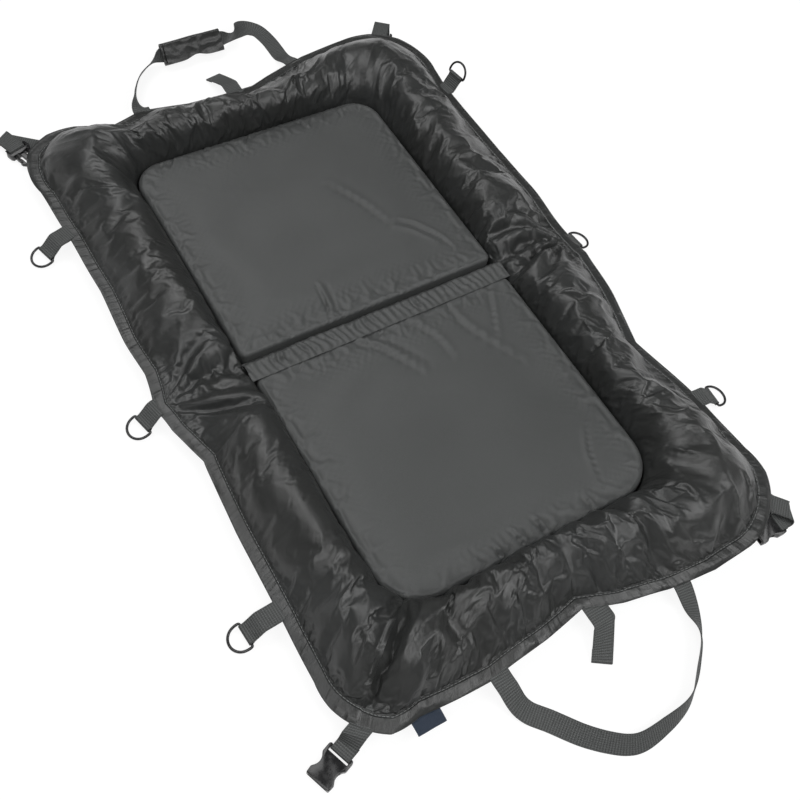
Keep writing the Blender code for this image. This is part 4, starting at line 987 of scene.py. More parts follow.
# %% Creases of the beds
# half, width mm, depth mm, points of the crease in the mat's plan
CREASES = (
    ("far", 5.0, 1.1, ((0.107, 0.131), (0.122, 0.118), (0.134, 0.101), (0.146, 0.080), (0.152, 0.057))),
    ("far", 7.0, -1.0, ((0.098, 0.124), (0.114, 0.110), (0.126, 0.094), (0.138, 0.074))),
    ("far", 4.0, 1.3, ((-0.053, 0.078), (-0.056, 0.056), (-0.058, 0.040), (-0.063, 0.020))),
    ("far", 5.0, -0.7, ((-0.046, 0.074), (-0.049, 0.054), (-0.051, 0.036))),
    ("far", 5.0, 0.8, ((-0.170, 0.030), (-0.142, 0.028), (-0.100, 0.040))),
    ("far", 9.0, 0.6, ((0.050, 0.230), (0.075, 0.180), (0.090, 0.130))),
    ("near", 7.0, 1.1, ((-0.056, -0.022), (-0.043, -0.036), (-0.025, -0.056), (0.000, -0.103))),
    ("near", 8.0, -0.8, ((-0.044, -0.022), (-0.030, -0.036), (-0.012, -0.056), (0.010, -0.095))),
    ("near", 6.0, 0.9, ((0.162, -0.022), (0.152, -0.040), (0.142, -0.061), (0.122, -0.103))),
    ("near", 9.0, 0.8, ((0.086, -0.020), (0.090, -0.050), (0.096, -0.076), (0.130, -0.147))),
    ("near", 8.0, 0.7, ((0.020, -0.022), (0.045, -0.060), (0.050, -0.100))),
    ("near", 4.0, 1.5, ((-0.051, -0.352), (-0.050, -0.362), (-0.049, -0.374))),
    ("near", 4.0, 1.6, ((-0.022, -0.346), (-0.018, -0.360), (-0.014, -0.374))),
    ("near", 4.0, 1.5, ((0.012, -0.344), (0.014, -0.356), (0.017, -0.374))),
    ("near", 4.0, 1.3, ((0.084, -0.348), (0.086, -0.360), (0.088, -0.374))),
    ("near", 6.0, 0.8, ((0.120, -0.340), (0.132, -0.300), (0.150, -0.272))),
)
# small puckers beside the seams: their places across the bed, and where they start along it
EDGE_PUCKERS = (
    -0.150, -0.128, -0.104, -0.083, -0.055, -0.038, -0.010, 0.018, 0.036, 0.068, 0.094, 0.121, 0.140,
)
PUCKERS_AT_END = 0.374
PUCKERS_AT_FOLD = 0.019


def pucker(half, width, depth, x, y, lean, reach, shift=0.0):
    """A short crease that runs in from the bed's edge."""
    return half, width, depth, ((x + shift, y), (x + lean, y + reach / 2), (x + lean * 2, y + reach))


for k, x in enumerate(EDGE_PUCKERS):
    lean, reach = 0.006 * math.sin(5 * k), 0.010 + 0.010 * (math.sin(3.7 * k) + 1)
    deep, slight, faint = (math.sin(turns * k) for turns in (2.3, 1.3, 1.9))
    CREASES += (
        pucker("far", 3.5, 0.8 + 0.5 * deep, x, PUCKERS_AT_END, lean, -reach),
        pucker("near", 3.0, 0.5 + 0.3 * slight, x, -PUCKERS_AT_FOLD, lean, -reach),
        pucker("far", 3.0, 0.4 + 0.3 * faint, x, PUCKERS_AT_FOLD, lean, reach, 0.01),
    )
CREASE_DEPTH = 2.2 * MM
CREASE_LIP = 0.7
LIP_PLACE = 1.7
COVER_TOP_FROM, COVER_TOP_RUN = 0.018, 0.006


def press_creases(points, half):
    """Lowers the cloth along each listed crease of this half."""
    for owner, width, depth, places in CREASES:
        if owner != half:
            continue
        line = finer(finer(np.array(places)))
        shares = np.linspace(0, 1, len(line))
        strength = np.sin(math.pi * np.clip(shares * 0.9 + 0.05, 0, 1)) ** 0.6
        away = points[:, None, :2] - line[None]
        gaps = np.linalg.norm(away, axis=2)
        nearest = gaps.argmin(axis=1)
        way = np.gradient(line, axis=0)
        way /= np.linalg.norm(way, axis=1, keepdims=True)
        beside = way[nearest, 0] * away[np.arange(len(points)), nearest, 1]
        beside -= way[nearest, 1] * away[np.arange(len(points)), nearest, 0]
        gap = np.copysign(gaps.min(axis=1), beside) / (width * MM * 0.6)
        fall = np.exp(-(gap**2)) - CREASE_LIP * np.exp(-((gap - LIP_PLACE) ** 2))
        on_top = ease((points[:, 2] - COVER_TOP_FROM) / COVER_TOP_RUN)
        points[:, 2] -= CREASE_DEPTH * depth * fall * strength[nearest] * on_top
    return points


# %% Make the beds
BEDS = (
    # half, end, radius of the corners on its near side and on its far side
    ("near", -1, CORNER_NEAR, FOLD_CORNER),
    ("far", 1, FOLD_CORNER, CORNER_FAR),
)
BED_MOVE = 0.0045
BED_GAP = 0.0003
CELL_WIDTH = 0.0046
EDGE_RUN = 0.030
SIDE_BAND = 0.004
bed_length = (PAD_END - FOLD_HALF - BED_GAP) / 2
bed_middle = (PAD_END + FOLD_HALF + BED_GAP) / 2
bed_steps = range(BED_CELLS + 1)
for half, end, low_corner, high_corner in BEDS:
    grid = np.array(
        [[bed_point(i, j, low_corner, high_corner, bed_length) for j in bed_steps] for i in bed_steps]
    )
    grid[..., 1] += end * bed_middle
    cover, row_of, column_of = cloth_grid(half + "_bed", grid)
    size = np.maximum(np.abs(row_of - BED_CELLS / 2), np.abs(column_of - BED_CELLS / 2))
    to_edge = (BED_CELLS / 2 - BED_BORDER - size) * CELL_WIDTH
    fixed = size >= BED_CELLS / 2 - 1
    at_edge = np.exp(-((to_edge / EDGE_RUN) ** 2))
    pins = np.where(fixed, 1.0, np.where(to_edge < 0, 0.7, 0.15 + 0.50 * ease(to_edge / 0.05)))
    spare = np.where(to_edge > 0, 0.02 + 0.14 * at_edge, 0.10)
    start = coordinates(cover)
    for k in np.nonzero(to_edge > 0)[0]:
        x, y = start[k, :2]
        pucker = ridges(x * 24, y * 24, 3.3 + end) * at_edge[k] * 0.35
        start[k, 2] += MM * (pucker + 0.7 * noise.noise(Vector((x * 12, y * 12, 6.0))))
    set_coordinates(cover, start)
    simulate(cover, pins, spare, pressure=1.2, frames=14, bending=0.25)
    moved = coordinates(cover) - start
    length = np.linalg.norm(moved, axis=1, keepdims=True)
    moved *= np.minimum(1, BED_MOVE / np.maximum(length, 1e-9))
    # beside the bolsters the cover may pull in, but not swell into them
    beside = np.abs(start[:, 0]) > PAD_HALF_WIDTH - SIDE_BAND
    moved[beside, 0] = np.where(moved[beside, 0] * start[beside, 0] > 0, 0, moved[beside, 0])
    shaped = np.empty_like(grid)
    shaped[row_of, column_of] = start + moved
    print(half, "bed moved by up to", round(1000 * float(length.max()), 1), "mm")
    bpy.data.objects.remove(cover)
    dense = finer(finer(shaped), axis=1)
    cover, _, _ = cloth_grid(half + "_bed", dense)
    set_coordinates(cover, press_creases(coordinates(cover), half))
    edit(cover, (bpy.ops.mesh.fill_holes, {"sides": 0}))
    smooth_shade(cover, 60)
    wear(cover, bed_polyester, "pad_cloth")
    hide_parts(half + "_pad_cover", half + "_pad_foam")
    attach(cover, half + "_half")

# %% [markdown]
# ## Underside and fold
# Under everything lies one heavy sheet: flat on the ground, rising beside the bolsters to the hem.
# It is built as a strip that follows the rim, and a ladder of rows that fills the middle. Between
# the beds a light, loose strip of cloth bridges the fold and puckers across.

# %% Underside
BASE_THICK = 0.0020
BASE_WELD = 0.0002
FLANGE_MIDDLE = 0.0180
BASE_MIDDLE = 0.0010
RISE_START = 0.86
RISE_STEPS = 5
FLANGE_SHARE = 0.94


def base_row(station, side, end):
    """One row of the underside's strip, from under the hem down to the bed's foot."""
    row = [(*rim(station, side, end, 1.0, HEM * FLANGE_SHARE), FLANGE_MIDDLE)]
    for k in range(RISE_STEPS + 1):
        share = k / RISE_STEPS
        height = FLANGE_MIDDLE + (BASE_MIDDLE - FLANGE_MIDDLE) * float(ease(share))
        row.append((*rim(station, side, end, 1.0 - (1.0 - RISE_START) * share), height))
    for across in (0.6, 0.3, 0.0):
        row.append((*rim(station, side, end, across), BASE_MIDDLE))
    return row


MIDDLE_OF_END, MIDDLE_OF_SIDE, CORNER_DONE = 3, 0, 2
base_stations = []
for side_a, end_a, side_b, end_b, turn in (
    (-1, -1, 1, -1, MIDDLE_OF_END),
    (1, -1, 1, 1, MIDDLE_OF_SIDE),
    (1, 1, -1, 1, MIDDLE_OF_END),
    (-1, 1, -1, -1, MIDDLE_OF_SIDE),
):
    base_stations += run(side_a, end_a, CORNER_DONE, turn)[:-1]
    base_stations += run(side_b, end_b, turn, CORNER_DONE)[:-1]
base_stations.append(base_stations[0])
strip, _, _ = cloth_grid("base_cloth", [base_row(*place) for place in base_stations])
ladder_columns = len(run(1, 1, CORNER_DONE, MIDDLE_OF_END)) - 1
columns = range(-ladder_columns, ladder_columns + 1)
near_side = run(1, -1, CORNER_DONE, MIDDLE_OF_SIDE)[:-1]
ladder = []
for place in near_side + run(1, 1, MIDDLE_OF_SIDE, CORNER_DONE):
    x, y = rim(*place, 0.0)
    ladder.append([(-x * c / ladder_columns, y, BASE_MIDDLE) for c in columns])
middle, _, _ = cloth_grid("base_middle", ladder)
pick(strip, middle)
bpy.ops.object.join()
base = strip
edit(base, (bpy.ops.mesh.remove_doubles, {"threshold": BASE_WELD}))
flat_area = sum(face.area for face in base.data.polygons)
make_up(base, BASE_THICK, 40, underside_cloth, "base_cloth")
base_low, base_high = coordinates(base).min(axis=0), coordinates(base).max(axis=0)
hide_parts("near_base_cloth", "far_base_cloth", "fold_strip")
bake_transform(base)
print("underside cloth area, m2:", round(flat_area, 3))

# %% [markdown]
# The strip is longer than the fold that it is sewn into, so it gathers into rows of small pleats.
# One edge dips into the gap beside the far bed, the other overlaps the near bed's edge. A wave
# makes the pleats, and noise pushes it about so that no two of them are alike.

# %% Gathered strip in the fold
CHANNEL_ROWS = 230
CHANNEL_COLUMNS = 20
CHANNEL_OVERLAP = 0.0055
CHANNEL_TOP = 0.0288
CHANNEL_GROOVE = 0.0125
CHANNEL_PLEAT = 0.0105
CHANNEL_PAST_BED = 0.004
CHANNEL_GAP = 0.0006
CHANNEL_THICK = 0.0008
PUCKER_HEIGHT = 1.9
CRUMPLE_HEIGHT = 1.7
SIDEWAYS = 0.0010
channel = np.zeros((CHANNEL_ROWS + 1, CHANNEL_COLUMNS + 1, 3))
for i in range(CHANNEL_ROWS + 1):
    x = (i / CHANNEL_ROWS - 0.5) * 2 * (PAD_HALF_WIDTH + CHANNEL_PAST_BED)
    for j in range(CHANNEL_COLUMNS + 1):
        share = j / CHANNEL_COLUMNS
        far_side, near_side = FOLD_HALF - CHANNEL_GAP, -FOLD_HALF - CHANNEL_OVERLAP
        y = far_side + (near_side - far_side) * share
        into_groove = float(ease((0.34 - share) / 0.30))
        loose = math.sin(math.pi * min(max(share, 0.02), 0.98)) ** 0.7
        wander = 2.2 * noise.noise(Vector((x * 26, y * 40, 1.0)))
        puckered = 1 - 2 * abs(math.sin(x * math.pi / CHANNEL_PLEAT + wander + y * 70))
        crumpled = ridges(x * 70, y * 60, 4.0)
        fullness = 0.7 + 0.6 * noise.noise(Vector((x * 30, 0, 9)))
        z = CHANNEL_TOP - (CHANNEL_TOP - CHANNEL_GROOVE) * into_groove
        z += loose * MM * fullness * (PUCKER_HEIGHT * puckered + CRUMPLE_HEIGHT * crumpled)
        channel[i, j] = (x, y + SIDEWAYS * loose * wander, z)
channel_cloth, _, _ = cloth_grid("fold_channel", channel)
make_up(channel_cloth, CHANNEL_THICK, 60, bed_polyester, "pad_cloth", offset=-1.0)
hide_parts("fold_channel_cloth")
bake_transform(channel_cloth)

# %% [markdown]
# ## Webbing
# Every strap is the same flat 25 mm webbing, so one helper makes them all: a grid swept along the
# strap's centre line, with a way across at each point, then given its thickness. The centre lines
# are those of the CAD model, and the roots run on into the hem, where a real strap is sewn.

# %% Webbing helpers
WEB_THICK = 0.0012
PLY_GAP = 0.0003
CLEAR = 0.0003
ROOT_GAP = 0.0006
TAB_HEIGHT = HEM_BOTTOM + CLEAR + WEB_THICK + PLY_GAP / 2
WEB_REST = WEB_THICK / 2 + CLEAR
HEM_END = PAD_END + FOOT_GAP + END_WALL + HEM
WEB_CELLS = 8
SEWN_DEEP = 0.036


def webbing(
    name,
    centres,
    acrosses,
    body,
    place=None,
    finish=webbing_weave,
    slot="webbing",
    width=WEB_WIDTH,
    smooth=2,
):
    """A woven strap along a centre line, riding on a body; smooth counts how often it is refined."""
    line, ways = np.array([tuple(c) for c in centres]), np.array([tuple(a) for a in acrosses])
    for _ in range(smooth):
        line, ways = finer(line), finer(ways)
    shares = np.linspace(-0.5, 0.5, WEB_CELLS + 1)
    points = line[:, None] + ways[:, None] * (shares[None, :, None] * width)
    strap, _, _ = cloth_grid(name, points if place is None else placed(points, place))
    make_up(strap, WEB_THICK, 50, finish, slot)
    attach(strap, body)
    return strap


def hem_frame(point, outward_degrees, height=TAB_HEIGHT):
    """Frame at the hem's edge: X outward, Y along the hem, Z up."""
    turn = Matrix.Rotation(math.radians(outward_degrees), 4, "Z")
    return Matrix.Translation(Vector((point[0], point[1], height))) @ turn


# %% [markdown]
# A ring's tab is one length of webbing laid double, with the ring's bar in the loop at its end.

# %% Doubled tabs of the rings
RING_WIRE = 0.0035
TAB_REACH = 0.027
TAB_PLACE = 0.303
FAR_RIGHT_TAB_PLACE = 0.345
TABS = (
    # name, body, side, place along the mat, turn from straight out, droop
    ("near_left", "near_half", -1, -TAB_PLACE, 4.0, 38.0),
    ("near_right", "near_half", 1, -TAB_PLACE, -4.0, 38.0),
    ("middle_left", "near_half", -1, 0.0, 14.0, 38.0),
    ("middle_right", "near_half", 1, 0.0, 6.0, 38.0),
    ("far_left", "far_half", -1, TAB_PLACE, 16.0, 38.0),
    ("far_right", "far_half", 1, FAR_RIGHT_TAB_PLACE, 10.0, -52.0),
)


def tab_line(droop):
    """Centre line of a tab: out of the hem, round the ring's bar and back, in the hem's frame."""
    ply = (WEB_THICK + PLY_GAP) / 2
    eye_radius = RING_WIRE / 2 + CLEAR + WEB_THICK / 2
    angle = math.radians(-droop)
    way = Vector((math.cos(angle), 0, math.sin(angle)))
    rise = Vector((-way.z, 0, way.x))
    bend = Vector((ROOT_GAP + WEB_WIDTH / 6, 0, 0))
    half_rise = Vector((-math.sin(angle / 2), 0, math.cos(angle / 2)))
    eye = bend + way * (TAB_REACH - bend.x)
    last = eye - way * eye_radius * 1.9
    up = Vector((0, 0, ply))
    root, middle = Vector((-SEWN_DEEP, 0, 0)), Vector((-0.004, 0, 0))
    line = [root + up, root.lerp(middle, 0.5) + up, middle + up, bend + half_rise * ply]
    line += [bend.lerp(last, 0.5) + rise * ply, last + rise * ply]
    for i in range(10):
        turn = math.radians(128 - droop - 256 * i / 9)
        line.append(eye + Vector((math.cos(turn), 0, math.sin(turn))) * eye_radius)
    line += [last - rise * ply, bend.lerp(last, 0.5) - rise * ply]
    return line + [bend - half_rise * ply, middle - up, root.lerp(middle, 0.5) - up, root - up]


for name, body, side, place, yaw, droop in TABS:
    edge = PAD_HALF_WIDTH + FOOT_GAP + SIDE_WALL + HEM - FOLD_DRAW_IN * float(fold_fade(place))
    frame_here = hem_frame((side * edge, place), (0.0 if side > 0 else 180.0) + yaw)
    line = tab_line(droop)
    tab = webbing(name + "_tab_webbing", line, [(0, 1, 0)] * len(line), body, frame_here, smooth=1)
    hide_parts(name + "_ring_tab")

# %% [markdown]
# Each carry handle is one length of webbing that lies on the ground in a loose arc, twisted on its
# way round. A table holds its places and how far it stands on its edge there, and a smooth curve
# runs through the rows. Its centre line rises as it turns, so that its lower edge stays down.

# %% Routes of the carry handles
NEAR_ROUTE = (
    # along the hem, out from it, turn of the webbing on its edge in degrees
    (-0.127, 0, 0), (-0.122, 0.031, 6), (-0.101, 0.060, 18), (-0.067, 0.103, 34),
    (-0.032, 0.128, 40), (0.009, 0.129, 52), (0.051, 0.121, 72), (0.088, 0.093, 78),
    (0.112, 0.068, 66), (0.125, 0.036, 22), (0.129, 0, 0),
)
FAR_ROUTE = (
    (-0.128, 0, 0), (-0.125, 0.018, -66), (-0.120, 0.038, -90), (-0.111, 0.057, -103),
    (-0.098, 0.076, -115), (-0.085, 0.088, -122), (-0.072, 0.097, -124), (-0.062, 0.101, -110),
    (-0.053, 0.101, -86), (-0.038, 0.101, -56), (0.038, 0.101, -56), (0.053, 0.101, -84),
    (0.062, 0.101, -106), (0.073, 0.107, -108), (0.089, 0.119, -58), (0.106, 0.125, -24),
    (0.120, 0.117, -10), (0.127, 0.096, -4), (0.129, 0.060, -3), (0.129, 0.028, 0), (0.129, 0, 0),
)
WRAP_LENGTH = 0.102
WRAP_WIDTH = 0.036
WRAP_DEPTH = 0.015
WRAP_TURN = 56.0
WRAP_PLACE = 0.101
WRAP_APPROACH = 0.026
HANDLE_DROP_RUN = 0.052
wrap_turn = math.radians(WRAP_TURN)
wrap_height = WRAP_WIDTH / 2 * math.sin(wrap_turn) + WRAP_DEPTH / 2 * math.cos(wrap_turn) + CLEAR


# %% The line of a carry handle
def eased(rows, samples=3):
    """Rows of a table joined by a smooth curve that passes through each of them."""
    rows = [Vector(row) for row in rows]
    spans = [(after - row).xy.length for row, after in zip(rows, rows[1:])]
    slopes = [(after - row) / span for row, after, span in zip(rows, rows[1:], spans)]
    tangents = [slopes[0]]
    for i in range(1, len(spans)):
        weighed = slopes[i - 1] * spans[i] + slopes[i] * spans[i - 1]
        tangents.append(weighed / (spans[i - 1] + spans[i]))
    tangents.append(slopes[-1])
    points = []
    for i, span in enumerate(spans):
        for k in range(samples):
            t = k / samples
            place = rows[i] * (1 + 2 * t) * (1 - t) ** 2 + rows[i + 1] * t**2 * (3 - 2 * t)
            bend = tangents[i] * t * (1 - t) ** 2 - tangents[i + 1] * t**2 * (1 - t)
            points.append(place + bend * span)
    return points + [rows[-1]]


def handle_line(sign, route, wrapped):
    """Centre line of a carry handle, from its root at the hem, and the way across it."""
    points = eased(route)
    plan = [Vector((x, out, 0)) for x, out, _ in points]
    lengths = [0.0]
    for a, b in zip(plan, plan[1:]):
        lengths.append(lengths[-1] + (b - a).length)
    centres, acrosses, last = [], [], len(plan) - 1
    for i, (point, length) in enumerate(zip(plan, lengths)):
        turn = math.radians(points[i].z)
        lift = abs(math.sin(turn)) * WEB_WIDTH / 2 + abs(math.cos(turn)) * WEB_THICK / 2 + CLEAR
        if wrapped:
            past = (abs(point.x) - WRAP_LENGTH / 2) / WRAP_APPROACH
            lift += (wrap_height - lift) * (1 - float(ease(past)))
        height = (lift - TAB_HEIGHT) * float(ease(min(length, lengths[-1] - length) / HANDLE_DROP_RUN))
        along = (plan[min(i + 1, last)] - plan[max(i - 1, 0)]).normalized()
        level = Vector((along.y, -along.x, 0))
        if i in (0, last):
            level = Vector((1 if i == 0 else -1, 0, 0))
        across = level * math.cos(turn) + Vector((0, 0, 1)) * math.sin(turn)
        centres.append(Vector((point.x, sign * point.y, height)))
        acrosses.append(Vector((across.x, sign * across.y, across.z)))
    for share in (0.35, 1.0):
        inward = Vector((0, -sign * SEWN_DEEP * share, 0))
        centres.insert(0, Vector((route[0][0], 0, 0)) + inward)
        acrosses.insert(0, Vector((1, 0, 0)))
        centres.append(Vector((route[-1][0], 0, 0)) + inward)
        acrosses.append(Vector((-1, 0, 0)))
    return centres, acrosses


# %% Sew the carry handles
ROOT_Y = HEM_END + ROOT_GAP + WEB_THICK / 2
for half, sign, route in (("near", -1, NEAR_ROUTE), ("far", 1, FAR_ROUTE)):
    centres, acrosses = handle_line(sign, route, half == "far")
    root = Matrix.Translation((0, sign * ROOT_Y, TAB_HEIGHT))
    handle = webbing(half + "_handle", centres, acrosses, half + "_handle", root)
    handle.parent = None
    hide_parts(half + "_handle_webbing")
    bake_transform(handle)

# %% [markdown]
# A padded wrap closes round the far handle: a strip of coated cloth rolled up a little more than
# once, with a flap along its top. A spiral round a flat oval gives the roll, and it is squeezed in
# the middle, where a hand has bent it.

# %% Padded wrap of the far handle
WRAP_ROWS = 44
WRAP_COLUMNS = 60
WRAP_TURNS = 1.16
WRAP_SPIRAL = 0.0030
WRAP_CLOTH = 0.0016
WRAP_INSIDE = 0.0010
SQUEEZED_DEPTH = 0.0020
SQUEEZED_WIDTH = 0.0050
wrap_place = Matrix.Translation((0, ROOT_Y + WRAP_PLACE, wrap_height))
wrap_place = wrap_place @ Matrix.Rotation(wrap_turn, 4, "X")


def on_oval(share, width, depth):
    """A point of a flat oval with round ends, by its share of the way round."""
    straight, bend = width - depth, math.pi * depth / 2
    length = (share % 1.0) * 2 * (straight + bend)
    if length < straight:
        return straight / 2 - length, -depth / 2
    length -= straight
    if length < bend:
        turn = math.radians(270) - length / (depth / 2)
        return -straight / 2 + depth / 2 * math.cos(turn), depth / 2 * math.sin(turn)
    length -= bend
    if length < straight:
        return -straight / 2 + length, depth / 2
    length -= straight
    turn = math.radians(90) - length / (depth / 2)
    return straight / 2 + depth / 2 * math.cos(turn), depth / 2 * math.sin(turn)


def wrap_bend(along):
    """How far the wrap is squeezed where a hand has bent it, from 0 to 1."""
    return math.exp(-(((along - 0.08) / 0.26) ** 2))


wrap_rows = []
for i in range(WRAP_ROWS + 1):
    along = i / WRAP_ROWS * 2 - 1
    row = []
    for j in range(WRAP_COLUMNS + 1):
        share = j / WRAP_COLUMNS * WRAP_TURNS
        inset = WRAP_SPIRAL * (1 - share / WRAP_TURNS)
        depth = WRAP_DEPTH - WRAP_INSIDE - 2 * inset - SQUEEZED_DEPTH * wrap_bend(along)
        width = WRAP_WIDTH - WRAP_INSIDE - 2 * inset - SQUEEZED_WIDTH * wrap_bend(along)
        a, o = on_oval(share + 0.06, width, depth)
        a += 0.0030 * wrap_bend(along) - 0.0012
        o += 0.0011 * ridges(along * 2.4, a * 70, 2.0)
        row.append((along * (WRAP_LENGTH / 2 - 0.001) + 0.0012 * math.sin(share * 7), a, o))
    wrap_rows.append(row)
wrap, _, _ = cloth_grid("handle_sleeve", placed(wrap_rows, wrap_place))
make_up(wrap, WRAP_CLOTH, 50, plain_nylon, "wall_cloth")
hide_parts("handle_wrap")
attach(wrap, "far_handle")

# %% Flap of the wrap
FLAP_WIDTH = 0.030
FLAP_ROWS = 40
FLAP_COLUMNS = 14
FLAP_SHORTER = 0.004
flap_rows = []
for i in range(FLAP_ROWS + 1):
    along = i / FLAP_ROWS * 2 - 1
    bent = wrap_bend(along)
    row = []
    for j in range(FLAP_COLUMNS + 1):
        share = j / FLAP_COLUMNS
        half_length = WRAP_LENGTH / 2 - FLAP_SHORTER - 0.0015 * ease((share - 0.85) / 0.15)
        over = (FLAP_WIDTH / 2 - share * FLAP_WIDTH) * (1 - 0.12 * bent) + 0.0020 * bent
        lift = 0.0014 - 0.0010 * bent + 0.0012 * ridges(along * 2.4, over * 70, 2.0)
        row.append((along * half_length, over, WRAP_DEPTH / 2 + lift))
    flap_rows.append(row)
flap, _, _ = cloth_grid("sleeve_flap", placed(flap_rows, wrap_place)[::-1])
make_up(flap, WRAP_CLOTH, 50, plain_nylon, "loop_tape")
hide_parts("wrap_flap")
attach(flap, "wrap_flap")

# %% [markdown]
# A short tab in the middle of each end holds the folded mat shut. One carries hook tape and the
# other loop tape, on the side that lies to the ground.

# %% Centre closure tabs
CLOSURES = (
    # half, sign along the mat, turn from straight out, the patch's node, its finish and slot
    ("near", -1, -34.0, "near_hook_patch", hook_tape, "hook_tape"),
    ("far", 1, 10.0, "far_loop_patch", loop_tape, "loop_tape"),
)
CLOSURE_LENGTH = 0.044
CLOSURE_SHIFT = 0.016
CLOSURE_STEPS = 8
PATCH_THICK = 0.0016
PATCH_START = 0.030
PATCH_INSET = 0.0002
PATCH_NARROWER = 0.0006
PATCH_STEPS = 6


def closure_drop(out):
    """Height of a closure tab against its root, on its way from the hem down to the ground."""
    fall = TAB_HEIGHT - WEB_REST - PATCH_THICK - CLEAR
    return -min(max(out / CLOSURE_LENGTH, 0.0), 1.0) ** 1.15 * fall


for half, sign, yaw, patch_node, tape, tape_slot in CLOSURES:
    place = hem_frame((CLOSURE_SHIFT, sign * ROOT_Y), 90 * sign + yaw)
    slant = math.radians(yaw)
    hem_line = Vector((math.sin(slant), math.cos(slant), 0)) / math.cos(slant)
    centres, acrosses = [], []
    for i in range(CLOSURE_STEPS + 1):
        out = CLOSURE_LENGTH * i / CLOSURE_STEPS
        centres.append(Vector((out, 0, closure_drop(out))))
        acrosses.append(hem_line.lerp(Vector((0, 1, 0)), i / CLOSURE_STEPS))
    inward = Vector((-math.cos(slant), math.sin(slant), 0))
    for depth in (SEWN_DEEP / 3, SEWN_DEEP):
        centres.insert(0, inward * depth)
        acrosses.insert(0, hem_line)
    tab = webbing(half + "_closure", centres, acrosses, half + "_closure", place)
    tab.parent = None
    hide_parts(half + "_closure_tab")
    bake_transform(tab)
    line = []
    for k in range(PATCH_STEPS + 1):
        out = PATCH_START + PATCH_INSET + k * (CLOSURE_LENGTH - PATCH_START) / PATCH_STEPS
        line.append((out, 0, closure_drop(out) - WEB_THICK - CLEAR))
    ways, width = [(0, 1, 0)] * len(line), WEB_WIDTH - PATCH_NARROWER
    patch = webbing(half + "_patch", line, ways, half + "_closure", place, tape, tape_slot, width, 0)
    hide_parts(patch_node)

# %% [markdown]
# Every corner has a short strap with one half of a side-release buckle. Three of the four are
# doubled back on a slanted fold, which turns the webbing to a new heading. Flat webbing can only
# bend about a line across it, so the fold is a half turn about that line.

# %% Corner straps
BUCKLE_THICK = 0.0095
BUCKLE_BAR = 0.0035
STRAP_TAIL = 0.016
STRAP_DROP_RUN = 0.014
STRAPS = (
    # name, body, side, end, station, heading, reach, turned heading, return, height of the fold
    ("near_left", "near_half", -1, -1, 1.5, 200.0, 0.019, None, 0.0, 0.0),
    ("near_right", "near_half", 1, -1, 1.5, -50.0, 0.033, 178.0, 0.012, 0.0165),
    ("far_left", "far_half", -1, 1, 1.75, 141.0, 0.073, -70.0, 0.026, WEB_REST),
    ("far_right", "far_half", 1, 1, 1.7, 50.0, 0.062, -120.0, 0.012, 0.0165),
)


def heading(degrees):
    return Vector((math.cos(math.radians(degrees)), math.sin(math.radians(degrees)), 0))


def left_of(way):
    return Vector((-way.y, way.x, 0))


def plain_rim(station, side, end, hem):
    """The rim as the CAD model has it, without its bows and ripples."""
    width, length = PAD_HALF_WIDTH + FOOT_GAP + SIDE_WALL + hem, PAD_END + FOOT_GAP + END_WALL + hem
    radius = CORNER_OUTER + hem / 2
    turn = (station - 1) * math.pi / 2
    x = width - radius + radius * math.cos(turn)
    y = length - radius + radius * math.sin(turn)
    return Vector((side * x, end * y, 0))


# %% Webbing that doubles back
def doubled_back(corner, way_in, way_out, radius, steps=6):
    """Points and ways across where flat webbing doubles back on a slanted fold."""
    line = (way_in + way_out).normalized()
    along_line = way_in.dot(line)
    across_line = math.sqrt(1 - along_line**2)
    outward = (way_in - line * along_line) / across_line
    scale = (1 if line.dot(left_of(way_in)) >= 0 else -1) / across_line
    centres, acrosses = [], []
    for i in range(1, steps + 1):
        turn = math.pi * i / steps
        slide = line * (abs(radius) * turn * along_line / across_line)
        rise = Vector((0, 0, radius * (1 - math.cos(turn))))
        centres.append(corner + slide + outward * abs(radius) * math.sin(turn) + rise)
        acrosses.append(line * scale)
    return centres, acrosses


def strap_line(root, tangent, way, reach, turned, back, fold_height):
    """Centre line of a corner strap, from inside the hem to round its buckle's bar."""
    ply = BUCKLE_BAR / 2 + CLEAR + WEB_THICK / 2
    folded = turned is not None
    on_ply = folded and fold_height < BUCKLE_THICK
    buckle_height = BUCKLE_THICK / 2 + CLEAR + (WEB_THICK + 2 * CLEAR if on_ply else 0.0)
    end_height = fold_height if folded else buckle_height + ply
    slanted = tangent / tangent.dot(left_of(way))
    fall = min(STRAP_DROP_RUN, reach)
    outs = [-SEWN_DEEP, -SEWN_DEEP / 2] + [fall * i / 6 for i in range(7)]
    outs += [reach] if reach > fall else []
    centres, acrosses = [], []
    for out in outs:
        height = TAB_HEIGHT + (end_height - TAB_HEIGHT) * float(ease(out / fall))
        centres.append(Vector((root.x, root.y, height)) + way * out)
        acrosses.append(slanted.lerp(left_of(way), min(max(out / fall, 0.0), 1.0)))
    if folded:
        radius = (buckle_height + ply - fold_height) / 2
        more, ways = doubled_back(centres[-1], way, heading(turned), radius)
        centres += more
        acrosses += ways
        way = heading(turned)
        centres.append(centres[-1] + way * back)
        acrosses.append(left_of(way) * (1 if acrosses[-1].dot(left_of(way)) > 0 else -1))
    across = acrosses[-1]
    hub = centres[-1] + way * ply - Vector((0, 0, ply))
    for i in range(1, 8):
        turn = math.radians(90 - 180 * i / 7)
        centres.append(hub + way * ply * math.cos(turn) + Vector((0, 0, ply * math.sin(turn))))
        acrosses.append(across)
    centres.append(centres[-1] - way * (STRAP_TAIL if not folded else STRAP_TAIL * 0.6))
    acrosses.append(across)
    return centres, acrosses


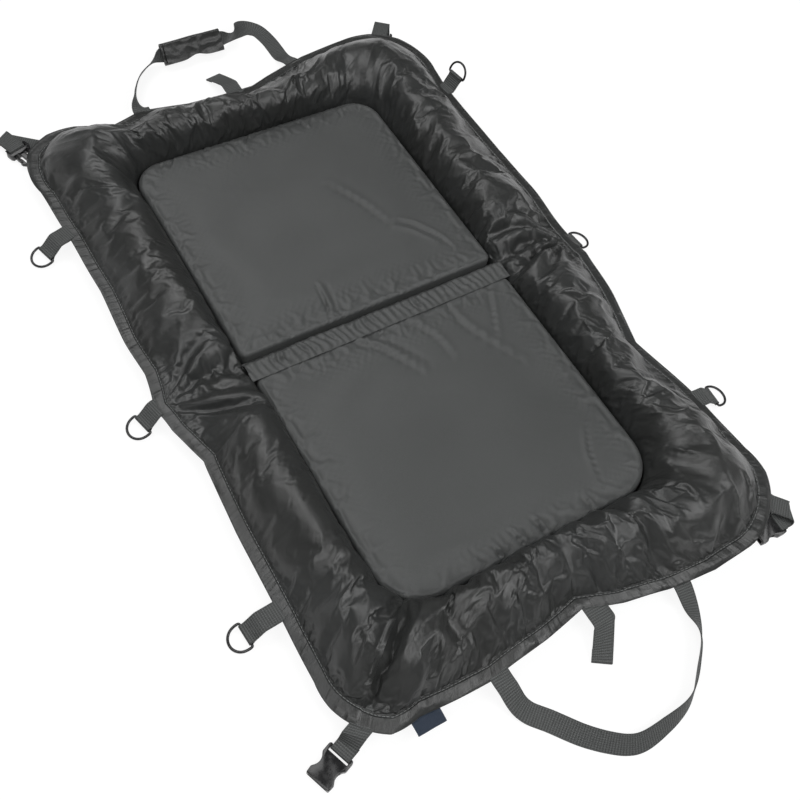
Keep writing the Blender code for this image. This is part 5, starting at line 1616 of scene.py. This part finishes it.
# %% Sew the corner straps
for name, body, side, end, station, out, reach, turned, back, fold_height in STRAPS:
    before, place, after = (plain_rim(station + step, side, end, HEM) for step in (-0.01, 0.0, 0.01))
    tangent = (after - before).normalized()
    root = place + left_of(tangent) * (ROOT_GAP if left_of(tangent).dot(place) > 0 else -ROOT_GAP)
    centres, acrosses = strap_line(root, tangent, heading(out), reach, turned, back, fold_height)
    strap = webbing(name + "_corner_strap", centres, acrosses, body, smooth=1)
    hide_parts(name + "_strap")

# %% [markdown]
# ## Moulded fittings
# The rings and the side-release buckles come from the CAD model, where a ring is a six-sided wire
# and a buckle has sharp edges. A copy is merged, rounded and smoothed, and rides where the
# original does.

# %% Rings and buckles
RING_FULLER = 0.00024
BUCKLE_ROUND = 0.00045
bodies = frame["record"]["behaviour"]["bodies"]
body_of_node = {node: body for body, nodes in bodies.items() for node in nodes}


def copy_of(node, name):
    """A merged copy of a CAD node, to be rounded."""
    pick(frame["nodes"][node])
    bpy.ops.object.duplicate()
    copy = bpy.context.object
    copy.name = name
    copy.data.materials.clear()
    for key in list(copy.keys()):
        del copy[key]
    edit(copy, (bpy.ops.mesh.remove_doubles, {"threshold": EDGE_TOLERANCE}))
    return copy


for name, *_ in TABS:
    ring = copy_of(name + "_ring", name + "_dee")
    edit(ring, (bpy.ops.mesh.tris_convert_to_quads, {}))
    apply_modifier(ring, "SUBSURF", levels=2, render_levels=2)
    edit(ring, (bpy.ops.transform.shrink_fatten, {"value": RING_FULLER}))
    smooth_shade(ring, 60)
    wear(ring, ring_plastic, "ring_plastic")
    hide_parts(name + "_ring")
    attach(ring, name + "_ring")

BUCKLE_NODES = ["near_left_female_buckle", "near_right_female_buckle"]
for side in ("left", "right"):
    BUCKLE_NODES += [f"far_{side}_male_buckle{part}" for part in ("", "_left_arm", "_right_arm")]
for node in BUCKLE_NODES:
    part = copy_of(node, node.replace("_buckle", "_clip"))
    edit(part, (bpy.ops.mesh.dissolve_limited, {"angle_limit": math.radians(3)}))
    sharp = math.radians(35)
    apply_modifier(
        part, "BEVEL", width=BUCKLE_ROUND, segments=2, limit_method="ANGLE", angle_limit=sharp
    )
    smooth_shade(part, 35)
    wear(part, buckle_plastic, "buckle_plastic")
    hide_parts(node)
    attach(part, body_of_node[node])

# %% [markdown]
# A scrap of navy twill, folded once, is sewn in under the near hem and sags a little past it.

# %% Blank label
LABEL_X = -1.144 * PAD_HALF_WIDTH
LABEL_WIDTH = 0.036
LABEL_REACH = 0.018
LABEL_TUCK = 0.011
LABEL_SEWN = 0.022
LABEL_SAG = 0.0028
LABEL_WAVE = 0.0005
LABEL_LIFT = 0.0006
LABEL_THICK = 0.0008
LABEL_ROWS, LABEL_COLUMNS = 24, 22
label_rows = []
for i in range(LABEL_ROWS + 1):
    along = i / LABEL_ROWS - 0.5
    row = []
    for j in range(LABEL_COLUMNS + 1):
        reach = -LABEL_SEWN + j / LABEL_COLUMNS * (LABEL_SEWN + LABEL_REACH)
        sag = -LABEL_SAG * max(reach / LABEL_REACH, 0.0) ** 2 * (1 + 0.5 * along)
        wave = LABEL_WAVE * math.sin(along * 9 + reach * 60)
        x = LABEL_X + along * LABEL_WIDTH + 0.03 * reach
        y = -HEM_END + LABEL_TUCK - reach
        row.append((x, y, HEM_BOTTOM + LABEL_LIFT + sag + wave * ease(reach / 0.01)))
    label_rows.append(row)
label, _, _ = cloth_grid("bare_label", label_rows[::-1])
make_up(label, LABEL_THICK, 50, label_cloth, "label_cloth")
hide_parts("blank_label")
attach(label, "near_half")
